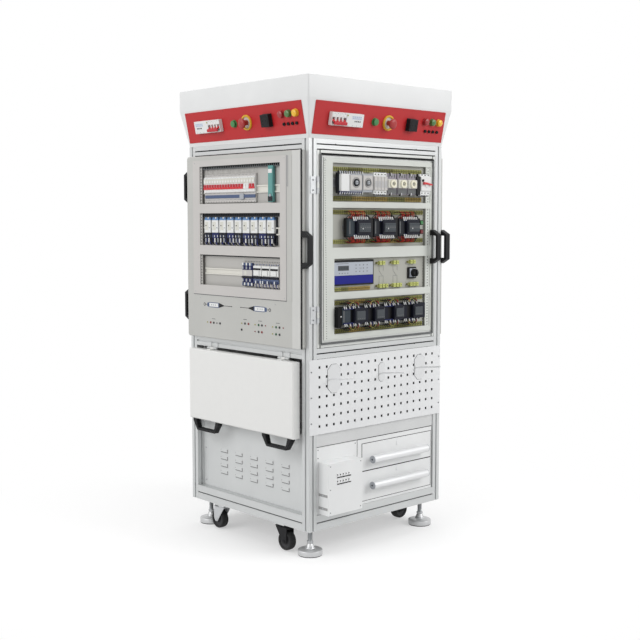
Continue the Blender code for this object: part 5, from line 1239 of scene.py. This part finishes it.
def cover_sheet(kit):
    """The thin sheet on the left door's field, with its three windows open, and the shadow along its lower and
    right edges."""
    x_cuts = (-0.313, left_window_left, left_window_right, 0.278)
    z_cuts = (0.9965, 1.036, 1.161, 1.2, 1.331, 1.3695, 1.5225, 1.548)
    kit.sheet(x_cuts, z_cuts, {(1, 1), (1, 3), (1, 5)}, left_cover_y, left_field_y + 0.0001, "sheet_grey")
    kit.boxes((0, left_field_y, 0), ((-314, 279.2, 0.4, -0.6, 993.7, 996.3, "shade_and_mark_grey"),
                                     (278.2, 281, 0.4, -0.6, 996.5, 1548, "edge_grey"),
                                     (281.5, 290, 0.3, -0.6, 1430, 1547, "edge_grey"),
                                     (311.2, 358, -0.6, -1.2, 817, 1564, "rim_grey"),
                                     (358.8, 359.6, -1.5, -9.8, 816.2, 1565, "black_plastic", 0.2)))
    # Painted shade along the top and the right edge of each window.
    for z0, z1 in left_windows:
        kit.box(left_window_left + 0.0002, left_window_right - 0.0002, left_field_y + 0.0004, left_field_y + 0.0032,
                z1 - 0.0016, z1 + 0.001, "shade_and_black")
        kit.box(left_window_right - 0.0014, left_window_right + 0.001, left_field_y + 0.0004, left_field_y + 0.0032,
                z0, z1, "shade_and_mark_grey")


def probe_mark(kit, x, z, turn):
    """A test probe as a thin inlay: ring, barrel, cone and tip line."""
    y = left_front_y
    kit.turned([(0.0001, 0.0066), (0.0004, 0.0066), (0.0004, 0.0042), (0.0001, 0.0042)], (x, y, z), "coal_plastic",
               sides=20, closed=True)
    barrel = [(18, -7), (34, -10.5), (90, -10.5), (104, -7.8), (104, 7.8), (90, 10.5), (34, 10.5), (18, 7)]
    cone = [(98, -9.8), (130, -1.6), (130, 1.6), (98, 9.8)]
    for outline, front, finish in ((barrel, 0.0004, "dusk_blue"), (cone, 0.0007, "black_plastic")):
        kit.prism([(x + turn * along / 1000, z + up / 1000) for along, up in outline], y - front, y, finish,
                  ease=0.0001)
    for start, end, front, half, finish in (
            (6.6, 20, 0.3, 1, "coal_plastic"), (32, 92, 0.6, 7.6, "white_plastic"), (44, 49, 0.7, 3, "grey_plastic"),
            (56, 61, 0.7, 3, "grey_plastic"), (70, 75, 0.7, 3, "grey_plastic"), (130, 183, 0.3, 1, "coal_plastic")):
        kit.boxes((x, y, z), [(turn * start, turn * end, front, 0, -half, half, finish)])
    kit.disc(x + turn * 0.181, y, z, 0.002, 0.0003, "coal_plastic")


# Groups of test sockets: their level, and then the place and finish of each socket
socket_groups = (
    (0.881, (-0.2217, "wire_yellow"), (-0.2, "socket_red"), (-0.179, "socket_dark"), (-0.158, "socket_dark"),
     (-0.137, "socket_dark")),
    (0.892, (0.005, "wire_yellow"), (0.026, "socket_dark"), (0.048, "socket_red")),
    (0.866, (0.0046, "socket_dark")),
    (0.892, (0.089, "wire_yellow"), (0.111, "socket_green"), (0.1315, "socket_dark"), (0.153, "socket_red")),
    (0.865, (0.089, "socket_red"), (0.111, "socket_dark"), (0.131, "socket_red")),
    (0.891, (0.196, "wire_yellow"), (0.217, "socket_green"), (0.237, "socket_dark"), (0.259, "socket_red")),
    (0.8635, (0.196, "wire_yellow"), (0.2165, "socket_green"), (0.237, "socket_dark")))


def test_sockets(kit):
    """Groups of small test sockets in the door's lower part, with a short dash over each group of the upper row."""
    for z, *places in socket_groups:
        for number, (x, finish) in enumerate(places):
            radius = 0.0026 if number in (0, 3) and len(places) > 2 else 0.0046
            kit.turned([(0, radius), (0.0018, radius), (0.0022, radius * 0.8), (0.0022, radius * 0.42),
                        (0.0006, radius * 0.38), (0.0006, 0)], (x, left_front_y, z), finish, sides=16)
        if z > 0.875:
            middle = (places[0][0] + places[-1][0]) / 2
            kit.boxes((middle, left_front_y, z), [(-12, 10, 0.3, 0, 15, 17.2, "shade_and_mark_grey")])


def left_door():
    refinish(("left_door",), "door_grey", 0.0005)
    kit, wires = Kit("left"), Kit("left")
    plate_low, plate_high = low("left_device_plate", Z), high("left_device_plate", Z)
    kit.box(-0.281, 0.281, left_plate_y, left_plate_y + 0.002, plate_low, plate_high, "plate_grey", 0.0004)
    left_breaker_row(kit, wires)
    left_relay_row(kit, wires)
    left_switch_row(kit, wires)
    comb(kit, 1.5225, 0.01, "shade_and_mark_grey")
    comb(kit, 1.331, 0.0105, "coal_plastic")
    kit.box(-0.266, 0.2415, left_plate_y - 0.009, left_plate_y - 0.002, 1.156, 1.162, "coal_plastic", 0.0004)
    # Narrow ducts at the windows' left edges, their slots painted dark as shade.
    back = left_front_y + 0.0024
    for z0, z1 in left_windows:
        kit.box(-0.27, -0.257, back, back + 0.004, z0 - 0.004, z1 + 0.004, "plate_grey", 0.0004)
        first, last = z0 + 0.004, z1 - 0.005
        count = round((last - first) / 0.0118)
        for number in range(count + 1):
            kit.block(-0.2622, back, first + number * (last - first) / count, 0.0022, 0.0022, 0.0002, -0.0004,
                      "shade_and_black")
    for sign, z in product((-1, 1), (plate_low + 0.01, plate_high - 0.005)):
        kit.disc(sign * 0.276, left_plate_y, z, 0.005, 0.0155, "zinc", 16)
    kit.done("left_devices", "left_door_body", "plate_grey", ("left_device_plate",))
    wires.done("left_device_leads", "left_door_body", "plate_grey")
    cover = Kit("left")
    cover_sheet(cover)
    cover.done("left_door_cover_sheet", "left_door_body", "light_grey_paint")
    marks = Kit("left")
    probe_mark(marks, -0.2406, 0.9546, 1)
    probe_mark(marks, 0.179, 0.955, -1)
    test_sockets(marks)
    for x, z in ((-0.268, 0.981), (0.211, 0.979), (-0.3, 1.538), (0.268, 1.538), (-0.3, 1.006), (0.268, 1.006)):
        marks.screw(x, left_front_y if z < 0.99 else left_cover_y, z, 0.0022)
    marks.done("left_door_details", "left_door_body", "light_grey_paint")
    edge_handle("left_door_bridge", "left", 1, "left_door_body", ("left_door_handle",))


# Right and rear doors
def plain_doors():
    refinish(("right_door", "rear_door"), "door_grey", 0.0005)
    edge_handle("right_door_bridge", "right", -1, "right_door_body", sleeve=handle_sleeve)
    for end, z in (("lower", 0.941), ("upper", 1.443)):
        door_handle(f"rear_door_bridge_{end}", "rear", "rear_door_body", 0.343, left_front_y - 0.0003, z,
                    sleeve=handle_sleeve)
    for side, x in (("right", -0.3), ("rear", 0.3)):
        kit = Kit(side)
        for corner in product((-0.322, 0.322), (0.852, 1.528)):
            kit.screw(corner[0], left_front_y, corner[1], 0.0032)
        kit.turned([(0, 0.009), (0.0022, 0.0088), (0.003, 0.0078), (0.003, 0)], (x, left_front_y, 1.08), "zinc",
                   sides=24)
        # The key slot, painted dark as shade.
        kit.block(x, left_front_y, 1.08, 0.0008, 0.0045, 0.0032, 0.002, "shade_and_black")
        kit.done(f"{side}_door_details", f"{side}_door_body", "light_grey_paint")


# Table and louvred cover
def table():
    refinish(("table_top",), "laminate", 0.0012)
    for name, x in (("rear", -0.23), ("front", 0.223)):
        kit = Kit("left")
        bridge(kit, lambda along, out: (x + along, low("table_top", Z) - 0.0003 - out), -0.4115, -0.388, "out",
               0.174, 0.12, 0.0505)
        kit.done(f"table_bridge_{name}", "table", "black_plastic", (f"table_handle_{name}",))


def lower_left():
    refinish(("louvre_cover",), "cover_white", 0.0004)
    kit = Kit("left")
    face = -0.341
    for x, z in product((-0.318, 0.318), (0.19, 0.33, 0.46)):
        kit.screw(x, face, z)
    # Louvres: the openings and the lips round them are painted darker grey as shade.
    for column, row in product(range(5), range(4)):
        kit.boxes((-0.193 + column * 0.0984, face, 0.245 + row * 0.0307), (
            (-20, 20, 4.6, 0.1, -8.8, -6.6, "shade_and_mark_grey"), (-22.5, 22.5, 0.4, -0.1, -11.8, -8, "edge_grey"),
            (19.6, 22.5, 3, -0.1, -8, 4, "edge_grey"), (-22.5, -20, 3, -0.1, -8, 2, "edge_grey")))
    kit.done("louvre_cover_details", "column", "white_paint")


# Tool board, pegs and fascia
board_pitch = 0.038
board_level = 0.629
rod_levels = {"peg_left": 0.694, "peg_middle": 0.69, "peg_right": 0.694}
rod_tilt = radians(6.5)


def tool_board():
    refinish(("tool_board",), "board_white", 0.0003)
    refinish(("front_fascia",), "fascia_grey", 0.0003)
    kit = Kit()
    # Painted shade: a dark sheet behind the board, and a dark square in each of its holes.
    kit.box(-opening_half + 0.004, opening_half - 0.004, -0.348, -0.346, low("tool_board", Z) + 0.016,
            middle_beam_bottom - 0.002, "shade_and_black", 0.0003)
    for column, row in product(range(18), range(7)):
        kit.block((column - 8.5) * board_pitch, -0.376, board_level + (row - 3) * board_pitch, 0.0049, 0.0049, 0.0004,
                  -0.0004, "shade_and_black")
    kit.done("tool_board_hole_shade", "column", "black_plastic")
    trim = Kit()
    for x, z in product((-0.3655, 0.3655), (0.53, board_level, 0.728)):
        trim.screw(x, low("tool_board", Y), z, 0.0032, "bracket_grey")
    trim.done("tool_board_screws", "column", "steel")
    for name, rod_level in rod_levels.items():
        peg(name, rod_level)


def peg(name, rod_level):
    """A thin plate with cut corners, and a rod that leans up from it out of a tapered collar."""
    (x0, tip, z0), (x1, _, z1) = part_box(name)
    kit = Kit()
    face = low("tool_board", Y) - 0.0003
    cut = (x1 - x0) * 0.3
    outline = [(x0 + cut, z0), (x1 - cut, z0), (x1, z0 + cut), (x1, z1 - cut), (x1 - cut, z1), (x0 + cut, z1),
               (x0, z1 - cut), (x0, z0 + cut)]
    kit.prism(fillet(outline, 0.004), face - 0.002, face, "peg_white", ease=0.0005)
    # A grey rim round the plate, painted as its shadow on the board.
    kit.prism(fillet(shrunk(outline, -0.0012), 0.004), face - 0.0003, face + 0.0001, "shade_and_mark_grey", ease=0.0001)
    x = x0 + 0.008
    rise = (face - tip) * sin(rod_tilt)
    kit.tube([(x, face - 0.001, rod_level), (x, tip + 0.002, rod_level + rise)], 0.0029, "peg_white", 14, 1)
    kit.turned([(0, 0.006), (0.0015, 0.0058), (0.003, 0.0036)], (x, face - 0.002, rod_level), "peg_white", sides=18)
    kit.done(f"{name}_detailed", "column", "steel", (name,))


# Drawers, side plate and service box
drawer_rows = (("upper_drawer", 0.349, 0.39), ("lower_drawer", 0.2437, 0.283))
drawer_face = -0.371
drawer_tube_radius = 0.0155
drawer_lock_x = 0.119


def drawers():
    refinish(("drawer_unit", "upper_drawer", "lower_drawer"), "unit_white", 0.0005)
    # Painted shade: dark strips in the gaps round each drawer and along two edges of the drawer unit.
    gap = Kit()
    for name, _, _ in drawer_rows:
        z0, z1 = low(name, Z), high(name, Z)
        for left, right, bottom, top in ((-0.0874, 0.3262, z1, z1 + 0.0022), (-0.0874, 0.3262, z0 - 0.0022, z0),
                                         (-0.0874, -0.085, z0, z1), (0.324, 0.3264, z0, z1)):
            gap.box(left, right, -0.3706, -0.3695, bottom, top, "painted_shade_dark")
    gap.box(-0.1141, -0.1118, -0.3703, -0.369, 0.17, 0.4315, "painted_shade_dark")
    gap.box(-0.113, 0.33, -0.3702, -0.3695, 0.4318, 0.4342, "painted_shade_dark")
    gap.done("drawer_gap_shade", "column", "white_paint")
    for name, handle_level, lock_level in drawer_rows:
        kit = Kit()
        left, right = low(f"{name}_handle", X), high(f"{name}_handle", X)
        length, radius = right - left, drawer_tube_radius
        axis_y = drawer_face - 0.026
        axis = (left, axis_y, handle_level)
        kit.turned([(0.004, radius - 0.0012), (0.004, radius), (length - 0.0035, radius),
                    (length - 0.0035, radius - 0.0012)], axis, "satin_tube", "along", 48)
        for start, end in ((0, 0.0046), (length - 0.0042, length)):
            kit.turned([(start, 0), (start, radius - 0.0024), (start + 0.0012, radius - 0.0006),
                        (end - 0.0006, radius - 0.0004), (end, radius - 0.0014), (end, 0)], axis, "grey_plastic",
                       "along", 40)
        # A dark disc of painted shade on the outer face of the left end cap.
        kit.turned([(-0.0003, 0), (-0.0003, 0.0036), (0.0004, 0.0036)], axis, "painted_shade_dark", "along", 18)
        for x in (left + 0.02, right - 0.02):
            kit.turned([(-0.0257, 0.0072), (-0.024, 0.0062), (0, 0.006)], (x, axis_y, handle_level), "satin_tube",
                       sides=20)
        kit.done(f"{name}_tube_handle", f"{name}_body", "aluminium", (f"{name}_handle",))
        lock = Kit()
        lock.turned([(0.0002, 0.0062), (0.0016, 0.0062), (0.0024, 0.0056), (0.0024, 0.0042), (0.0019, 0.0038),
                     (0.0019, 0)], (drawer_lock_x, drawer_face, lock_level), "bracket_grey")
        # The keyhole, painted dark as shade.
        lock.boxes((drawer_lock_x, drawer_face, lock_level), [(-0.7, 0.7, 2.4, 1.5, -2.8, 2, "shade_and_black")])
        lock.done(f"{name}_lock", f"{name}_body", "steel")


def service_box():
    refinish(("side_plate", "service_box", "lower_cover"), "unit_white", 0.0005)
    kit = Kit()
    for x, z in ((-0.3245, 0.422), (-0.124, 0.422), (-0.3245, 0.39), (-0.124, 0.18)):
        kit.screw(x, low("side_plate", Y), z, 0.0024, "bracket_grey")
    (left, face, bottom), (right, back, top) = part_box("service_box")
    for x, z in ((left + 0.01, top - 0.01), (right - 0.01, top - 0.01), (left + 0.01, (bottom + top) / 2),
                 (left + 0.01, bottom + 0.012), (right - 0.01, bottom + 0.012)):
        kit.screw(x, face, z, 0.0022, "bracket_grey")
    for row, column in product(range(2), range(5)):
        x, z = left + 0.052 + column * 0.015, top - 0.05 - row * 0.0255
        kit.prism(fillet([(x - 0.0065, z - 0.0055), (x + 0.0065, z - 0.0055), (x + 0.005, z + 0.0055),
                          (x - 0.005, z + 0.0055)], 0.0015), face - 0.0024, face, "unit_white", ease=0.0009)
        # Slots painted dark as shade, below each hood and at its upper left.
        kit.boxes((x, face, z), ((-6, 6, 2.2, -0.1, -9, -4.8, "painted_shade_dark"), (-6.4, -3, 2.6, -0.1, 2, 5.2, "painted_shade_dark")))
    for z in (0.25, 0.199):
        kit.box(left - 0.0016, left + 0.0006, face + 0.006, back - 0.004, z - 0.005, z + 0.005, "edge_grey", 0.0006)
        kit.turned([(-0.001, 0.0036), (0.001, 0.0034)], (left - 0.0016, face + 0.03, z), "zinc", "along", 14)
    kit.done("service_box_details", "column", "white_paint")


# Mains inlet on the rear
inlet_screw_x = 0.066
inlet_pin_circle = 0.017


def power_inlet():
    refinish(("power_inlet",), "fascia_grey", 0.0008)
    kit = Kit("rear")
    lowest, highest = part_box("power_inlet")
    front = -(opening_half + 0.11)
    level = (lowest[Z] + highest[Z]) / 2
    for x, z in product((-inlet_screw_x, inlet_screw_x), (lowest[Z] + 0.012, highest[Z] - 0.012)):
        kit.screw(x, front, z, 0.0036)
    tip = highest[Y] + front
    for step in range(5):
        angle = 2 * pi * step / 5
        kit.turned([(0, 0.0026), (tip * 0.7, 0.0026), (tip * 0.75, 0)],
                   (inlet_pin_circle * sin(angle), front, level + inlet_pin_circle * cos(angle)), "brass", sides=12)
    kit.disc(0, front, level, 0.0296, 0.0008, "blue_plastic", 36)
    kit.turned([(tip - 0.006, 0.0385), (tip - 0.0005, 0.0385), (tip - 0.0005, 0.0362), (tip - 0.006, 0.0362)],
               (0, front, level), "blue_plastic", sides=40, closed=True)
    kit.done("power_inlet_details", "column", "light_grey_paint")


# Feet and casters
wheel_radius = 0.0385
wheel_half = 0.016
axle_level = 0.041
trail = 0.025
cheek_inner = 0.0172
cheek_thickness = 0.003
cheek_shares = ((1, 1), (-1.7, 1), (-1.7, 0.1), (-1.35, -0.16), (-0.8, -0.16), (-0.48, 0.07))
caster_place = (0.348, 0.191)
casters_seen = (("front_left", -1, -1, 0, "black_plastic"), ("rear_left", -1, 1, 180, "fork_light"),
                ("front_right", 1, -1, -90, "black_plastic"), ("rear_right", 1, 1, 150, "black_plastic"))
tyre_profile = ((0.86, 0.72), (1, 0.8), (0.97, 0.93), (0.74, 0.985), (0.31, 1))
hub_profile = ((0.74, 0.74), (0.61, 0.66), (0.56, 0.34), (0.98, 0.28), (0.98, 0.0044 / wheel_radius))


def feet():
    for corner in ("front_left", "front_right", "rear_left", "rear_right"):
        lowest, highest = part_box(f"foot_{corner}")
        top = highest[Z]
        centre = ((lowest[X] + highest[X]) / 2, (lowest[Y] + highest[Y]) / 2, 0)
        thread = [(0.0545, 0.0092)]
        level = 0.056
        while level < top - 0.002:
            thread += [(level, 0.0092), (level + 0.00075, 0.0086)]
            level += 0.0015
        thread += [(top - 0.0006, 0.0092), (top, 0.008)]
        kit = Kit()
        for profile, finish, sides in (
                ([(0, 0.045), (0, 0.0468), (0.0022, 0.0474), (0.0036, 0.0466)], "rubber", 48),
                ([(0.0028, 0.0462), (0.0034, 0.0484), (0.0205, 0.0484), (0.0222, 0.0476), (0.0236, 0.045),
                  (0.0252, 0.04), (0.0262, 0.03), (0.0274, 0.02), (0.03, 0.0178), (0.038, 0.015), (0.0455, 0.0116),
                  (0.047, 0.01)], "foot_satin", 56),
                ([(0.03, 0.0181), (0.0304, 0.0186), (0.0326, 0.0178), (0.033, 0.017)], "steel", 40),
                ([(0.0466, 0.0125), (0.0476, 0.0134), (0.054, 0.0134), (0.055, 0.0125)], "steel", 6),
                (thread, "steel", 20)):
            kit.turned(profile, centre, finish, "up", sides)
        kit.done(f"foot_{corner}_detailed", f"foot_{corner}_body", "steel", (f"foot_{corner}",))


def casters():
    crown = frame_bottom - 0.0043 - axle_level
    half = cheek_inner + cheek_thickness
    for corner, sign_x, sign_y, heading, finish in casters_seen:
        place = (Matrix.Translation((sign_x * caster_place[0], sign_y * caster_place[1], axle_level))
                 @ Matrix.Rotation(radians(heading), 4, "Z"))
        bright = finish == "fork_light"
        fork = Kit()
        fork.place = place
        fork.turned([(crown - 0.006, 0.018), (crown - 0.0054, 0.0238), (crown - 0.0008, 0.0238), (crown, 0.0228)],
                    (0, 0, 0), "zinc" if bright else finish, "up", 40)
        fork.turned([(crown - 0.01, 0.015), (crown - 0.0058, 0.019)], (0, 0, 0), finish, "up", 32)
        for side in (-1, 1):
            outline = fillet([(y * trail, z * (crown - 0.006)) for y, z in cheek_shares],
                             [0.004, 0.004, 0.008, 0.006, 0.006, 0.01])
            fork.prism(outline, cheek_inner * side, half * side, finish, "along", 0.0005)
        top = fillet([(-half, -1.7 * trail), (half, -1.7 * trail), (half, trail), (-half, trail)], 0.004)
        fork.prism(top, crown - 0.009, crown - 0.0056, finish, "up", 0.0006)
        for side in (-1, 1):
            fork.turned([((half - 0.0004) * side, 0.0062), ((half + 0.0018) * side, 0.0062)], (0, -trail, 0), finish,
                        "along", 6)
        fork.turned([(-cheek_inner, 0.0038), (cheek_inner, 0.0038)], (0, -trail, 0), finish, "along", 16)
        fork.done(f"caster_{corner}_bracket", f"caster_{corner}_fork_body", "steel" if bright else "black_plastic",
                  (f"caster_{corner}_fork",))
        wheel = Kit()
        wheel.place = place
        for profile, wheel_finish, sides in ((tyre_profile, "rubber", 48), (hub_profile, "tread_grey", 40)):
            near = [(-across * wheel_half, share * wheel_radius) for across, share in profile]
            wheel.turned(near + [(-across, radius) for across, radius in reversed(near)], (0, -trail, 0), wheel_finish,
                         "along", sides, closed=True)
        wheel.done(f"caster_{corner}_tyre", f"caster_{corner}_wheel_body", "rubber", (f"caster_{corner}_wheel",))


build_stage()
dress_frame()
slot_nuts("front")
slot_nuts("left")
for column_side in side_turns:
    slot_shade_lines(column_side)
door_frame_lines()
hood()
for station_side, station_moving in (("front", True), ("left", True), ("rear", False), ("right", False)):
    station(station_side, station_moving)
front_door()
left_door()
plain_doors()
table()
lower_left()
tool_board()
drawers()
service_box()
power_inlet()
feet()
casters()
